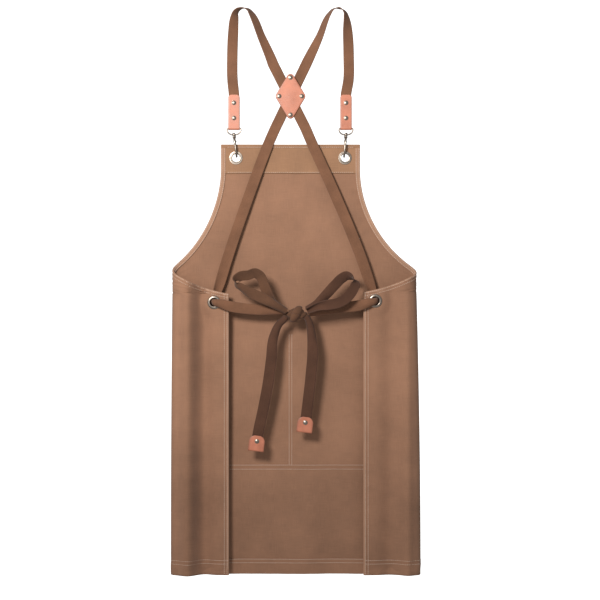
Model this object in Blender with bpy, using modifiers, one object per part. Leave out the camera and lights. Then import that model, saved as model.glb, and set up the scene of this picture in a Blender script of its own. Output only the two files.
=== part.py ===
"""Cross-back butcher apron, hung by its two shoulder-strap loops.

Metres, +Z up. The origin lies midway between the two loops, on the line that they hang from.
The wearer's side faces -Y: there the two skirt flaps wrap round and the ties are knotted.
The front of the apron, with its pocket, faces +Y. Left and right are the wearer's own.
"""
import math

import bmesh
import bpy
import numpy as np
from mathutils import Matrix, Vector

# ---- driving dimensions -------------------------------------------------------------------------
GAP = 0.0003                # clearance between pieces that touch

CANVAS = 0.0012             # canvas thickness
BIB_TOP = -0.2685           # height of the bib's top edge
BIB_HALF = 0.1365           # half width of the bib's top
BIB_SIDE_END = -0.318       # where the straight sides of the bib end and the armholes start
FLAP_TOP = {-1: -0.5625, 1: -0.559}   # height of the skirt flaps' free top corners
HEM = -1.113                # height of the bottom hem
FLAT_HALF = {-1: 0.3557, 1: 0.3642}         # flat width from the middle to each flap's corner
ARMHOLE_PULL = {-1: ((BIB_HALF, -0.380), (0.175, -0.531)),   # inner control points of the
                1: ((BIB_HALF, -0.405), (0.196, -0.530))}    # armhole curve
FOLD_RADIUS = 0.012         # radius of the side folds, so the flaps hang 24 mm behind the panel
FLAP_Y = -2 * FOLD_RADIUS
FLAP_EDGE_X = {-1: 0.121, 1: 0.1435}        # distance of each flap's free edge from the middle
FOLD_FLARE = {-1: 0.003, 1: 0.008}          # how much further out each side fold is at the hem

FACING = 0.0009             # thickness and height of the facing along the bib's top
FACING_HEIGHT = 0.0575
FACING_HALF = 0.1345

POCKET_HALF = 0.200         # front pocket, two compartments
POCKET_TOP = -0.640
POCKET_BOTTOM = -0.909
POCKET_CLOTH = 0.0010
POCKET_DEPTH = 0.0061

EYELET_HOLE = 0.0076        # brass eyelets
EYELET_BARREL = 0.0081
EYELET_FLANGE = 0.0132
CLOTH_HOLE = 0.0084
WASHER = 0.0008
BIB_EYELET = (0.1074, -0.2945)
WAIST_EYELETS = {-1: (-0.1495, -0.579), 1: (0.1665, -0.576)}

WEB = 0.0020                # webbing thickness and width
WEB_WIDTH = 0.021
LOOP_RADIUS = 0.017         # middle of the webbing over the pegs, which are 32 mm thick
LOOP_X = 0.0930

LEATHER = 0.0018            # leather thickness
TAB_X = {-1: -0.1113, 1: 0.1093}
TAB_WIDTH = 0.023
TAB_TOP = -0.170
TAB_CORNER = 0.006
TAB_RIVETS = (-0.186, -0.216)

RING_WIRE = 0.0014          # wire radius of the swivel eyes
RING_BAR_Z = -0.2360
RING_DROP = 0.0130          # from the bar to the swivel boss
RING_HALF = 0.0134
BOSS_RADIUS = 0.0036
BOSS_HALF = 0.0020
BOSS_HOLE = 0.0022
STEM_RADIUS = 0.0012
HOOK_WIRE = 0.0018
HOOK_LEAN = {-1: math.radians(-7), 1: math.radians(5)}
GATE_PIN = (0.0092, -0.0125)                # y and z of the gate's pin from the swivel boss
GATE_END = -0.0338
GATE_DEPTH = 0.0032
GATE_THICK = 0.0018
EAR_RADIUS = 0.0026
EAR_HALF = 0.0027
SLOT_HALF = 0.0012
PIN_RADIUS = 0.0007

CROSS_Z = -0.1734           # leather diamonds where the straps cross
CROSS_Y = -0.0040
CROSS_RIVET_X = 0.0222
CROSS_RIVET_Z = 0.0367
CROSS_MARGIN = 0.0072
CROSS_REACH = 0.0485        # the straps run flat this far above and below the patch's middle

RIVET_SHANK = 0.0015
RIVET_HOLE = 0.0018
RIVET_CAP = 0.0045

KNOT = (0.012, -0.0395, -0.6015)
KNOT_RADII = (0.0165, 0.0075, 0.0130)
TAIL_PIVOT = {-1: (-0.0125, -0.037, -0.6125), 1: (0.0345, -0.037, -0.6125)}
TIP_WIDTH = 0.031
TIP_LENGTH = 0.031
TIP_CORNER = 0.012
TIP_RIVET = 0.011           # below the tip's top edge

SIDES = {-1: "left", 1: "right"}

COLOURS = {
    "canvas": ((0.40, 0.215, 0.135, 1), 0.90, 0.0),
    "pocket_canvas": ((0.37, 0.195, 0.120, 1), 0.90, 0.0),
    "webbing": ((0.20, 0.105, 0.060, 1), 0.85, 0.0),
    "tan_leather": ((0.64, 0.26, 0.15, 1), 0.55, 0.0),
    "antique_nickel": ((0.36, 0.34, 0.32, 1), 0.35, 1.0),
}


# ---- scene and placing --------------------------------------------------------------------------
for old in list(bpy.data.objects):
    bpy.data.objects.remove(old, do_unlink=True)

parts = bpy.data.collections.new("butcher_apron")
cutters = bpy.data.collections.new("cutters")
bpy.context.scene.collection.children.link(parts)
bpy.context.scene.collection.children.link(cutters)


def material(name):
    """One Principled material, made once and shared."""
    found = bpy.data.materials.get(name)
    if found:
        return found
    colour, roughness, metallic = COLOURS[name]
    made = bpy.data.materials.new(name)
    made.use_nodes = True
    shader = made.node_tree.nodes["Principled BSDF"]
    shader.inputs["Base Color"].default_value = colour
    shader.inputs["Roughness"].default_value = roughness
    shader.inputs["Metallic"].default_value = metallic
    made.diffuse_color = colour
    return made


def place(data, name, look, location=(0, 0, 0), rotation=(0, 0, 0), parent=None):
    """Link one part into the apron's collection."""
    obj = bpy.data.objects.new(name, data)
    obj.location = location
    obj.rotation_euler = rotation
    obj.parent = parent
    data.materials.append(material(look))
    parts.objects.link(obj)
    return obj


def pivot(name, location, rotation=(0, 0, 0), parent=None):
    """An empty on a joint's axis."""
    empty = bpy.data.objects.new(name, None)
    empty.location = location
    empty.rotation_euler = rotation
    empty.parent = parent
    parts.objects.link(empty)
    return empty


def solidify(obj, thickness, even=False):
    """Give an open surface its thickness, half to each side."""
    shell = obj.modifiers.new("thickness", "SOLIDIFY")
    shell.thickness = thickness
    shell.offset = 0
    shell.use_even_offset = even


def as_cutter(obj, parent=None):
    """Keep a helper solid out of sight, in the cutters' collection."""
    for collection in list(obj.users_collection):
        collection.objects.unlink(obj)
    cutters.objects.link(obj)
    obj.hide_render = True
    obj.display_type = "WIRE"
    obj.parent = parent
    return obj


def boolean(obj, other, operation):
    step = obj.modifiers.new(operation.lower(), "BOOLEAN")
    step.operation = operation
    step.object = other


def rods(name, centres, radius, half_length, axis, sides=16, parent=None):
    """Round rods along X or Y, all in one helper solid."""
    turn = Matrix.Rotation(math.radians(90), 4, "Y" if axis == "X" else "X")
    bm = bmesh.new()
    for centre in centres:
        bmesh.ops.create_cone(bm, cap_ends=True, segments=sides, radius1=radius, radius2=radius,
                              depth=2 * half_length, matrix=Matrix.Translation(centre) @ turn)
    mesh = bpy.data.meshes.new(name)
    bm.to_mesh(mesh)
    bm.free()
    return as_cutter(bpy.data.objects.new(name, mesh), parent)


# ---- shapes -------------------------------------------------------------------------------------
def smooth_rows(rows, steps):
    """Rows of numbers, read from a smooth curve through them, with steps samples between two."""
    p = np.array(rows, float)
    chord = np.linalg.norm(np.diff(p[:, :3], axis=0), axis=1)[:, None]
    slope = np.diff(p, axis=0) / chord
    middle = (slope[:-1] * chord[1:] + slope[1:] * chord[:-1]) / (chord[:-1] + chord[1:])
    tangent = np.vstack([slope[:1], middle, slope[-1:]])
    out = []
    for i in range(len(p) - 1):
        for k in range(steps):
            t = k / steps
            out.append(
                (2 * t**3 - 3 * t**2 + 1) * p[i] + (t**3 - 2 * t**2 + t) * chord[i] * tangent[i]
                + (3 * t**2 - 2 * t**3) * p[i + 1] + (t**3 - t**2) * chord[i] * tangent[i + 1])
    out.append(p[-1])
    return np.array(out)


def across_rows(rows):
    """Turn rows of x, y, z, width and lie into x, y, z, width and a direction across the band.

    A lie is the band's roll in degrees, 0 where it faces the viewer and 90 where its width
    runs along Y, or the direction itself.
    """
    p = np.array([row[:3] for row in rows], float)
    tangent = np.gradient(p, axis=0)
    out = []
    for row, t in zip(rows, tangent):
        lie = row[4]
        if isinstance(lie, tuple):
            side = Vector(lie)
        else:
            flat = Vector((t[2], 0, -t[0])).normalized()
            side = flat * math.cos(math.radians(lie)) + Vector((0, math.sin(math.radians(lie)), 0))
        out.append((*row[:4], *side.normalized()))
    return out


def from_rim(rows):
    """Rows of a bow's loop, from points on its near rim and the way from there to its far rim."""
    out = []
    for row in rows:
        across = Vector(row[3:])
        out.append((*(Vector(row[:3]) + across / 2), across.length, tuple(-across)))
    return out


def band(name, rows, thickness, look, steps=4, origin=(0, 0, 0), parent=None, rotation=(0, 0, 0)):
    """A flat band of webbing or leather along rows of x, y, z, width and lie."""
    samples = smooth_rows(across_rows(rows), steps)
    tangent = np.gradient(samples[:, :3], axis=0)
    bm = bmesh.new()
    edges = []
    for row, t in zip(samples, tangent):
        centre = Vector(row[:3]) - Vector(origin)
        along = Vector(t).normalized()
        side = Vector(row[4:7])
        side = (side - along * side.dot(along)).normalized() * row[3] / 2
        edges.append((bm.verts.new(centre - side), bm.verts.new(centre + side)))
    for (a, b), (c, d) in zip(edges, edges[1:]):
        bm.faces.new((a, b, d, c))
    mesh = bpy.data.meshes.new(name)
    bm.to_mesh(mesh)
    bm.free()
    obj = place(mesh, name, look, origin if parent is None else (0, 0, 0), rotation, parent)
    solidify(obj, thickness)
    return obj


def folded_leather(name, top, fold, radius, width, corner, **placing):
    """A leather strip folded once round the bottom, with two round-cornered leaves upwards."""
    rows = []
    for k in range(4):
        angle = math.radians(30 * k)
        height = top - corner * (1 - math.cos(angle))
        rows.append((0, -radius, height, width - 2 * corner * (1 - math.sin(angle)), (1, 0, 0)))
    for k in range(7):
        angle = math.radians(30 * k)
        rows.append((0, -radius * math.cos(angle), fold - radius * math.sin(angle),
                     width, (1, 0, 0)))
    for k in range(3, -1, -1):
        angle = math.radians(30 * k)
        height = top - corner * (1 - math.cos(angle))
        rows.append((0, radius, height, width - 2 * corner * (1 - math.sin(angle)), (1, 0, 0)))
    return band(name, rows, LEATHER, "tan_leather", steps=1, **placing)


def turned(name, profile, look, location, rotation=(0, 0, 0), closed=True, steps=20, parent=None):
    """A turned piece: its profile of radius and height runs down the outer side."""
    mesh = bpy.data.meshes.new(name)
    links = [(i, i + 1) for i in range(len(profile) - 1)]
    if closed:
        links.append((len(profile) - 1, 0))
    mesh.from_pydata([(r, 0, h) for r, h in profile], links, [])
    obj = place(mesh, name, look, location, rotation, parent)
    spin = obj.modifiers.new("turn", "SCREW")
    spin.steps = steps
    spin.render_steps = steps
    spin.use_merge_vertices = True
    spin.merge_threshold = 0.00001
    return obj


def plate(name, outline, holes, thickness, look, location, parent=None):
    """A flat piece that faces -Y, from an outline in x and z with round holes in it."""
    curve = bpy.data.curves.new(name, "CURVE")
    curve.dimensions = "2D"
    curve.fill_mode = "BOTH"
    curve.extrude = thickness / 2
    loops = [outline]
    for x, z, radius in holes:
        loops.append([(x + radius * math.cos(a), z + radius * math.sin(a))
                      for a in np.linspace(0, 2 * math.pi, 16, endpoint=False)])
    for loop in loops:
        spline = curve.splines.new("POLY")
        spline.points.add(len(loop) - 1)
        spline.use_cyclic_u = True
        for point, (x, z) in zip(spline.points, loop):
            point.co = (x, z, 0, 1)
    return place(curve, name, look, location, (math.radians(90), 0, 0), parent)


def round_hull(centres, radius, steps=4):
    """The outline round equal circles on the corners of a convex shape, anticlockwise."""
    outline = []
    count = len(centres)
    for i in range(count):
        here = Vector(centres[i])
        before = here - Vector(centres[i - 1])
        after = Vector(centres[(i + 1) % count]) - here
        start = math.atan2(before.y, before.x) - math.pi / 2
        end = math.atan2(after.y, after.x) - math.pi / 2
        if end < start:
            end += 2 * math.pi
        for k in range(steps + 1):
            angle = start + (end - start) * k / steps
            outline.append((here.x + radius * math.cos(angle), here.y + radius * math.sin(angle)))
    return outline


def wire(name, points, radius, cyclic=False):
    """A mesh of round wire along a smooth path, closed at its ends or into a ring."""
    curve = bpy.data.curves.new(name, "CURVE")
    curve.dimensions = "3D"
    curve.bevel_depth = radius
    curve.bevel_resolution = 2
    curve.use_fill_caps = not cyclic
    spline = curve.splines.new("POLY")
    spline.points.add(len(points) - 1)
    spline.use_cyclic_u = cyclic
    for point, co in zip(spline.points, points):
        point.co = (*co, 1)
    helper = bpy.data.objects.new(name, curve)
    bpy.context.scene.collection.objects.link(helper)
    graph = bpy.context.evaluated_depsgraph_get()
    mesh = bpy.data.meshes.new_from_object(helper.evaluated_get(graph))
    bpy.data.objects.remove(helper, do_unlink=True)
    bm = bmesh.new()
    bm.from_mesh(mesh)
    bmesh.ops.remove_doubles(bm, verts=bm.verts, dist=0.00001)
    bm.to_mesh(mesh)
    bm.free()
    return mesh


# ---- canvas body --------------------------------------------------------------------------------
def fold_start(side, z):
    """Distance from the middle where the front panel starts to turn round the side."""
    drop = max(0.0, (FLAP_TOP[side] - z) / (FLAP_TOP[side] - HEM))
    flat = (FLAT_HALF[side] - math.pi * FOLD_RADIUS + FLAP_EDGE_X[side]) / 2
    return flat + FOLD_FLARE[side] * drop * (2 - drop)


def on_canvas(side, u, z):
    """Where a point of the flat cloth, u from the middle, hangs on the wrapped apron."""
    start = fold_start(side, z)
    angle = (u - start) / FOLD_RADIUS
    if angle <= 0:
        return side * u, 0.0, z
    if angle < math.pi:
        return (side * (start + FOLD_RADIUS * math.sin(angle)),
                FOLD_RADIUS * (math.cos(angle) - 1), z)
    return side * (start - (u - start - math.pi * FOLD_RADIUS)), FLAP_Y, z


def cloth_edge(side, count=18):
    """Half widths and heights of the flat cloth down one side: bib, armhole and skirt."""
    rows = [(BIB_HALF, BIB_TOP), (BIB_HALF, (BIB_TOP + BIB_SIDE_END) / 2)]
    corners = [(BIB_HALF, BIB_SIDE_END), *ARMHOLE_PULL[side], (FLAT_HALF[side], FLAP_TOP[side])]
    for k in range(count + 1):
        t = k / count
        weights = ((1 - t)**3, 3 * t * (1 - t)**2, 3 * t**2 * (1 - t), t**3)
        rows.append(tuple(sum(w * c[i] for w, c in zip(weights, corners)) for i in (0, 1)))
    for k in range(1, 6):
        rows.append((None, FLAP_TOP[side] + (HEM - FLAP_TOP[side]) * k / 5))
    return rows


def canvas_body():
    """The one piece of cloth: bib, front panel and the two flaps that wrap to the back."""
    squeeze = 0.0015
    bm = bmesh.new()
    grid = []
    for edges in zip(cloth_edge(-1), cloth_edge(1)):
        line = [bm.verts.new((0, 0, (edges[0][1] + edges[1][1]) / 2))]
        for side, (half, z) in zip(SIDES, edges):
            start = fold_start(side, z)
            bend = math.pi * FOLD_RADIUS
            full = start + bend + start - FLAP_EDGE_X[side]
            width = full if half is None else half
            columns = [0.05, 0.11, 0.165, start]
            columns += [start + bend * k / 6 for k in range(1, 7)]
            columns += [start + bend + (full - start - bend) * k / 3 for k in range(1, 4)]
            last = len(columns) - 1
            spread = [min(u, width - (last - i) * squeeze) for i, u in enumerate(columns)]
            places = [bm.verts.new(on_canvas(side, u, z)) for u in spread]
            line = places[::-1] + line if side < 0 else line + places
        grid.append(line)
    for upper, lower in zip(grid, grid[1:]):
        for k in range(len(upper) - 1):
            bm.faces.new((upper[k], lower[k], lower[k + 1], upper[k + 1]))
    mesh = bpy.data.meshes.new("apron_canvas")
    bm.to_mesh(mesh)
    bm.free()
    body = place(mesh, "apron_canvas", "canvas")
    solidify(body, CANVAS)
    bib_holes = [(side * BIB_EYELET[0], 0, BIB_EYELET[1]) for side in SIDES]
    waist_holes = [(WAIST_EYELETS[side][0], FLAP_Y, WAIST_EYELETS[side][1]) for side in SIDES]
    boolean(body, rods("cloth_holes", bib_holes + waist_holes, CLOTH_HOLE, 0.004, "Y", 20),
            "DIFFERENCE")
    return body


def bib_facing():
    """The doubled band along the bib's top, on the wearer's side."""
    low = BIB_TOP - FACING_HEIGHT
    top = BIB_TOP - 0.0006
    outline = [(-FACING_HALF, low), (FACING_HALF, low), (FACING_HALF, top), (-FACING_HALF, top)]
    holes = [(side * BIB_EYELET[0], BIB_EYELET[1], CLOTH_HOLE) for side in SIDES]
    depth = -CANVAS / 2 - GAP - FACING / 2
    plate("bib_top_facing", outline, holes, FACING, "canvas", (0, depth, 0))


def front_pocket():
    """A wide pocket on the front, sewn down at the sides, the bottom and the middle."""
    columns = [0, 0.003, 0.012, 0.100, POCKET_HALF - 0.012, POCKET_HALF - 0.003, POCKET_HALF]
    fullness = [0, 0.05, 1, 1, 1, 0.05, 0]
    xs = [-x for x in columns[:0:-1]] + columns
    full_x = fullness[:0:-1] + fullness
    heights = [0, 0.003, 0.012, 0.11, 0.20, POCKET_TOP - POCKET_BOTTOM]
    full_z = [0, 0.05, 1, 1, 1, 1]
    base = CANVAS / 2 + GAP + POCKET_CLOTH / 2
    bm = bmesh.new()
    grid = []
    for height, fz in zip(heights, full_z):
        grid.append([bm.verts.new((x, base + POCKET_DEPTH * fx * fz, POCKET_BOTTOM + height))
                     for x, fx in zip(xs, full_x)])
    for lower, upper in zip(grid, grid[1:]):
        for k in range(len(lower) - 1):
            bm.faces.new((lower[k], lower[k + 1], upper[k + 1], upper[k]))
    mesh = bpy.data.meshes.new("front_pocket")
    bm.to_mesh(mesh)
    bm.free()
    solidify(place(mesh, "front_pocket", "pocket_canvas"), POCKET_CLOTH, even=True)


# ---- metal fittings -----------------------------------------------------------------------------
def eyelet(name, x, y, z, stack, facing):
    """An eyelet through cloth of thickness stack whose outer face is at y; facing is +1 or -1."""
    lip = stack + 2 * GAP + WASHER + GAP
    profile = [(0.0102, 0.0016), (0.0126, 0.0010), (EYELET_FLANGE, 0.0003), (EYELET_FLANGE, 0),
               (EYELET_BARREL, 0), (EYELET_BARREL, -lip), (0.0102, -lip), (0.0102, -lip - 0.0004),
               (0.0090, -lip - 0.0010), (0.0079, -lip - 0.0007), (EYELET_HOLE, -lip),
               (EYELET_HOLE, 0.0006), (0.0084, 0.0014)]
    turn = (math.radians(-90 * facing), 0, 0)
    seat = y + facing * GAP
    turned(f"{name}_eyelet", profile, "antique_nickel", (x, seat, z), turn)
    top = -(stack + 2 * GAP)
    ring = [(EYELET_FLANGE, top), (EYELET_FLANGE, top - WASHER), (CLOTH_HOLE, top - WASHER),
            (CLOTH_HOLE, top)]
    turned(f"{name}_washer", ring, "antique_nickel", (x, seat, z), turn)


def rivet(name, x, y, z, stack, parent=None, lean=0.0):
    """A double-cap rivet along Y through a stack of layers, centred on the stack."""
    half = stack / 2 + GAP
    profile = [(0, half + 0.0016), (0.0022, half + 0.0014), (0.0038, half + 0.0009),
               (RIVET_CAP, half + 0.0002), (RIVET_CAP, half), (RIVET_SHANK, half),
               (RIVET_SHANK, -half), (RIVET_CAP, -half), (RIVET_CAP, -half - 0.0002),
               (0.0030, -half - 0.0009), (0, -half - 0.0011)]
    turned(name, profile, "antique_nickel", (x, y, z), (math.radians(90), lean, 0),
           closed=False, steps=12, parent=parent)


def swivel_eye(side, bar):
    """The D-shaped eye in the leather loop, with the swivel's boss at its lowest point."""
    name = f"{SIDES[side]}_swivel_eye"
    half = [(0.0119, 0), (0.0130, -0.0004), (RING_HALF, -0.0015), (0.0132, -0.0050),
            (0.0110, -0.0092), (0.0062, -0.0120), (0.0024, -RING_DROP)]
    path = half + [(-x, z) for x, z in half[::-1]]
    ring = place(wire(name, [(x, 0, z) for x, z in path], RING_WIRE, cyclic=True), name,
                 "antique_nickel", parent=bar)
    boss = turned(f"{name}_boss", [(BOSS_RADIUS, BOSS_HALF), (BOSS_RADIUS, -BOSS_HALF),
                                   (0, -BOSS_HALF), (0, BOSS_HALF)],
                  "antique_nickel", (0, 0, -RING_DROP), closed=True, steps=16, parent=bar)
    hole = turned(f"{name}_hole", [(0, 0.004), (BOSS_HOLE, 0.004), (BOSS_HOLE, -0.004),
                                   (0, -0.004)],
                  "antique_nickel", (0, 0, -RING_DROP), closed=False, steps=16, parent=bar)
    as_cutter(boss, bar)
    as_cutter(hole, bar)
    boolean(ring, boss, "UNION")
    boolean(ring, hole, "DIFFERENCE")


def snap_hook(side, bar):
    """The hook that turns in the eye's boss, and the gate that closes it."""
    name = SIDES[side]
    stem = pivot(f"{name}_swivel_axis", (0, 0, -RING_DROP), (0, HOOK_LEAN[side], 0), bar)
    path = [(0.0088, -0.0105), (0.0062, -0.0070), (0, -0.0055), (-0.0062, -0.0070),
            (-0.0092, -0.0115), (-0.0100, -0.0220), (-0.0096, -0.0340), (-0.0064, -0.0405),
            (0, -0.0435), (0.0062, -0.0412), (0.0090, -0.0370)]
    curve = smooth_rows([(0, y, z) for y, z in path], 2)
    hook = place(wire(f"{name}_hook", curve, HOOK_WIRE), f"{name}_hook", "antique_nickel",
                 parent=stem)
    profile = [(0, 0.0042), (0.0024, 0.0042), (0.0029, 0.0037), (0.0029, 0.0027),
               (STEM_RADIUS, 0.0027), (STEM_RADIUS, -0.0027), (0.0030, -0.0027),
               (0.0030, -0.0050), (0.0018, -0.0060), (0, -0.0060)]
    post = as_cutter(turned(f"{name}_hook_post", profile, "antique_nickel", (0, 0, 0),
                            closed=False, steps=12, parent=stem), stem)
    boolean(hook, post, "UNION")
    centre = (0, *GATE_PIN)
    ears = rods(f"{name}_hook_ears", [centre], EAR_RADIUS, EAR_HALF, "X", 14, stem)
    boolean(hook, ears, "UNION")
    slot_low = -0.0170
    slot_top = GATE_PIN[1] + 0.0024
    bm = bmesh.new()
    size = Matrix.Diagonal((2 * SLOT_HALF, 0.012, slot_top - slot_low, 1))
    middle = Matrix.Translation((0, GATE_PIN[0], (slot_top + slot_low) / 2))
    bmesh.ops.create_cube(bm, size=1, matrix=middle @ size)
    mesh = bpy.data.meshes.new(f"{name}_hook_slot")
    bm.to_mesh(mesh)
    bm.free()
    slot = as_cutter(bpy.data.objects.new(f"{name}_hook_slot", mesh), stem)
    boolean(hook, slot, "DIFFERENCE")
    bore = rods(f"{name}_hook_bore", [centre], PIN_RADIUS + GAP, 0.004, "X", 10, stem)
    boolean(hook, bore, "DIFFERENCE")

    pin = bmesh.new()
    turn = Matrix.Rotation(math.radians(90), 4, "Y")
    bmesh.ops.create_cone(pin, cap_ends=True, segments=10, radius1=PIN_RADIUS,
                          radius2=PIN_RADIUS, depth=2 * EAR_HALF + 0.0008, matrix=turn)
    mesh = bpy.data.meshes.new(f"{name}_gate_pin")
    pin.to_mesh(mesh)
    pin.free()
    place(mesh, f"{name}_gate_pin", "antique_nickel", centre, parent=stem)

    axle = pivot(f"{name}_gate_axis", centre, parent=stem)
    reach = GATE_END - GATE_PIN[1] + GATE_DEPTH / 2
    outline = round_hull([(0, reach), (0, 0)], GATE_DEPTH / 2, 6)
    gate = plate(f"{name}_gate", outline, [(0, 0, PIN_RADIUS + GAP)], GATE_THICK,
                 "antique_nickel", (0, 0, 0), axle)
    gate.rotation_euler = (math.radians(90), 0, math.radians(90))


# ---- straps, leather and ties -------------------------------------------------------------------
def loop_over_peg(side, leave, rolls):
    """Rows of webbing over one peg, from the outer leg to where it leaves for the cross.

    leave is the angle of the departing leg from the vertical; rolls are those of both legs at
    the peg. On top the webbing's width runs along the peg.
    """
    rows = []
    for k in range(7):
        turn = math.radians(180 - (180 - leave) * k / 6)
        share = abs(k - 3) / 3
        roll = 90 + (rolls[0 if k < 3 else 1] - 90) * share
        rows.append((side * (LOOP_X - LOOP_RADIUS * math.cos(turn)), 0,
                     WEB / 2 - LOOP_RADIUS * (1 - math.sin(turn)), WEB_WIDTH, roll))
    return rows


def strap(side, leave, rolls, below_peg, lower):
    """One strap: from its leather tab over the peg, across the back and out to the knot."""
    tab = TAB_X[side]
    outer = side * (LOOP_X + LOOP_RADIUS)
    rows = [(tab, 0, RING_BAR_Z + RING_WIRE + 0.0012, WEB_WIDTH, 0),
            (tab, 0, TAB_TOP, WEB_WIDTH, 0),
            (outer + side * 0.0042, 0, -0.141, WEB_WIDTH, 0),
            (outer + side * 0.0046, 0, -0.095, WEB_WIDTH, 0),
            (outer + side * 0.0030, 0, -0.050, WEB_WIDTH, rolls[0] / 3)]
    rows += loop_over_peg(side, leave, rolls) + below_peg + lower
    obj = band(f"{SIDES[side]}_strap", rows, WEB, "webbing", steps=3)
    holes = [(tab, 0, z) for z in TAB_RIVETS]
    boolean(obj, rods(f"{SIDES[side]}_strap_holes", holes, RIVET_HOLE, 0.003, "Y", 10),
            "DIFFERENCE")


def through_patch(y, upper_x, lower_x, lie):
    """Rows of a straight, flat stretch through the leather patch and a little past it."""
    rows = []
    for share in (-0.14, 0, 0.5, 1, 1.14):
        z = CROSS_Z + CROSS_REACH * (1 - 2 * share)
        rows.append((upper_x + (lower_x - upper_x) * share, y, z, WEB_WIDTH, lie))
    return rows


def straps():
    """The strap from the left shoulder ends at the right of the waist, and the other way round."""
    front = CROSS_Y - WEB / 2 - GAP / 2
    back = CROSS_Y + WEB / 2 + GAP / 2
    w = WEB_WIDTH
    strap(-1, 23, (45, 120), [(-0.0570, -0.0012, -0.0560, w, 140), (-0.0380, -0.0032, -0.1000, w, 168)],
          through_patch(front, -0.0268, 0.0222, 180)
          + [(0.0370, -0.0062, -0.2540, w, 180),
           (0.0900, -0.0102, -0.3720, w, 180), (0.1405, -0.0118, -0.4955, w, 180),
           (0.1582, -0.0125, -0.5480, 0.018, 180), (0.1640, -0.0140, -0.5650, 0.013, 180),
           (0.1662, -0.0185, -0.5740, 0.011, (0.85, 0, 0.50)),
           (0.1665, -0.0250, -0.5765, 0.011, (0.62, 0, 0.79)),
           (0.1645, -0.0305, -0.5775, 0.012, (0.20, 0, 0.98)),
           (0.1570, -0.0330, -0.5785, 0.015, 0), (0.1380, -0.0335, -0.5840, 0.020, 0),
           (0.0900, -0.0335, -0.5900, 0.020, 0), (0.0520, -0.0335, -0.5970, 0.015, 0),
           (0.0330, -0.0335, -0.6000, 0.011, 0)])
    strap(1, 26, (60, 70), [(0.0570, -0.0006, -0.0560, w, 45), (0.0357, -0.0015, -0.1000, w, 10)],
          through_patch(back, 0.0238, -0.0230, 0)
          + [(-0.0395, -0.0048, -0.2580, w, 0),
           (-0.0825, -0.0098, -0.3720, w, 0), (-0.1247, -0.0118, -0.4955, w, 0),
           (-0.1415, -0.0125, -0.5510, 0.018, 0), (-0.1470, -0.0140, -0.5680, 0.013, 0),
           (-0.1492, -0.0185, -0.5770, 0.011, (-0.85, 0, 0.50)),
           (-0.1495, -0.0250, -0.5795, 0.011, (-0.62, 0, 0.79)),
           (-0.1475, -0.0305, -0.5800, 0.012, (-0.20, 0, 0.98)),
           (-0.1400, -0.0330, -0.5805, 0.015, 180), (-0.1200, -0.0335, -0.5860, 0.020, 180),
           (-0.0600, -0.0335, -0.5935, 0.020, 180), (-0.0250, -0.0335, -0.5955, 0.014, 180),
           (-0.0080, -0.0335, -0.5965, 0.011, 180)])


def shoulder_tab(side):
    """The leather loop that joins a strap to its swivel eye, and its two rivets."""
    name = SIDES[side]
    radius = RING_WIRE + GAP + LEATHER / 2
    tab = folded_leather(f"{name}_tab", TAB_TOP, RING_BAR_Z, radius, TAB_WIDTH, TAB_CORNER)
    tab.location.x = TAB_X[side]
    holes = rods(f"{name}_tab_holes", [(TAB_X[side], 0, z) for z in TAB_RIVETS], RIVET_HOLE,
                 0.006, "Y", 10)
    boolean(tab, holes, "DIFFERENCE")
    for place_name, z in zip(("upper", "lower"), TAB_RIVETS):
        rivet(f"{name}_tab_{place_name}_rivet", TAB_X[side], 0, z, 2 * radius + LEATHER)


def cross_patch():
    """Two leather diamonds round the crossed straps, riveted through the gaps of the cross."""
    corners = [(0, -CROSS_RIVET_Z), (CROSS_RIVET_X, 0), (0, CROSS_RIVET_Z), (-CROSS_RIVET_X, 0)]
    outline = round_hull(corners, CROSS_MARGIN)
    holes = [(x, z, RIVET_HOLE) for x, z in corners]
    reach = WEB + GAP / 2 + GAP + LEATHER / 2
    for name, y in (("cross_patch_outer", -reach), ("cross_patch_inner", reach)):
        plate(name, outline, holes, LEATHER, "tan_leather", (0, CROSS_Y + y, CROSS_Z))
    for label, (x, z) in zip(("bottom", "right", "top", "left"), corners):
        rivet(f"cross_{label}_rivet", x, CROSS_Y, CROSS_Z + z, 2 * reach + LEATHER)


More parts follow.
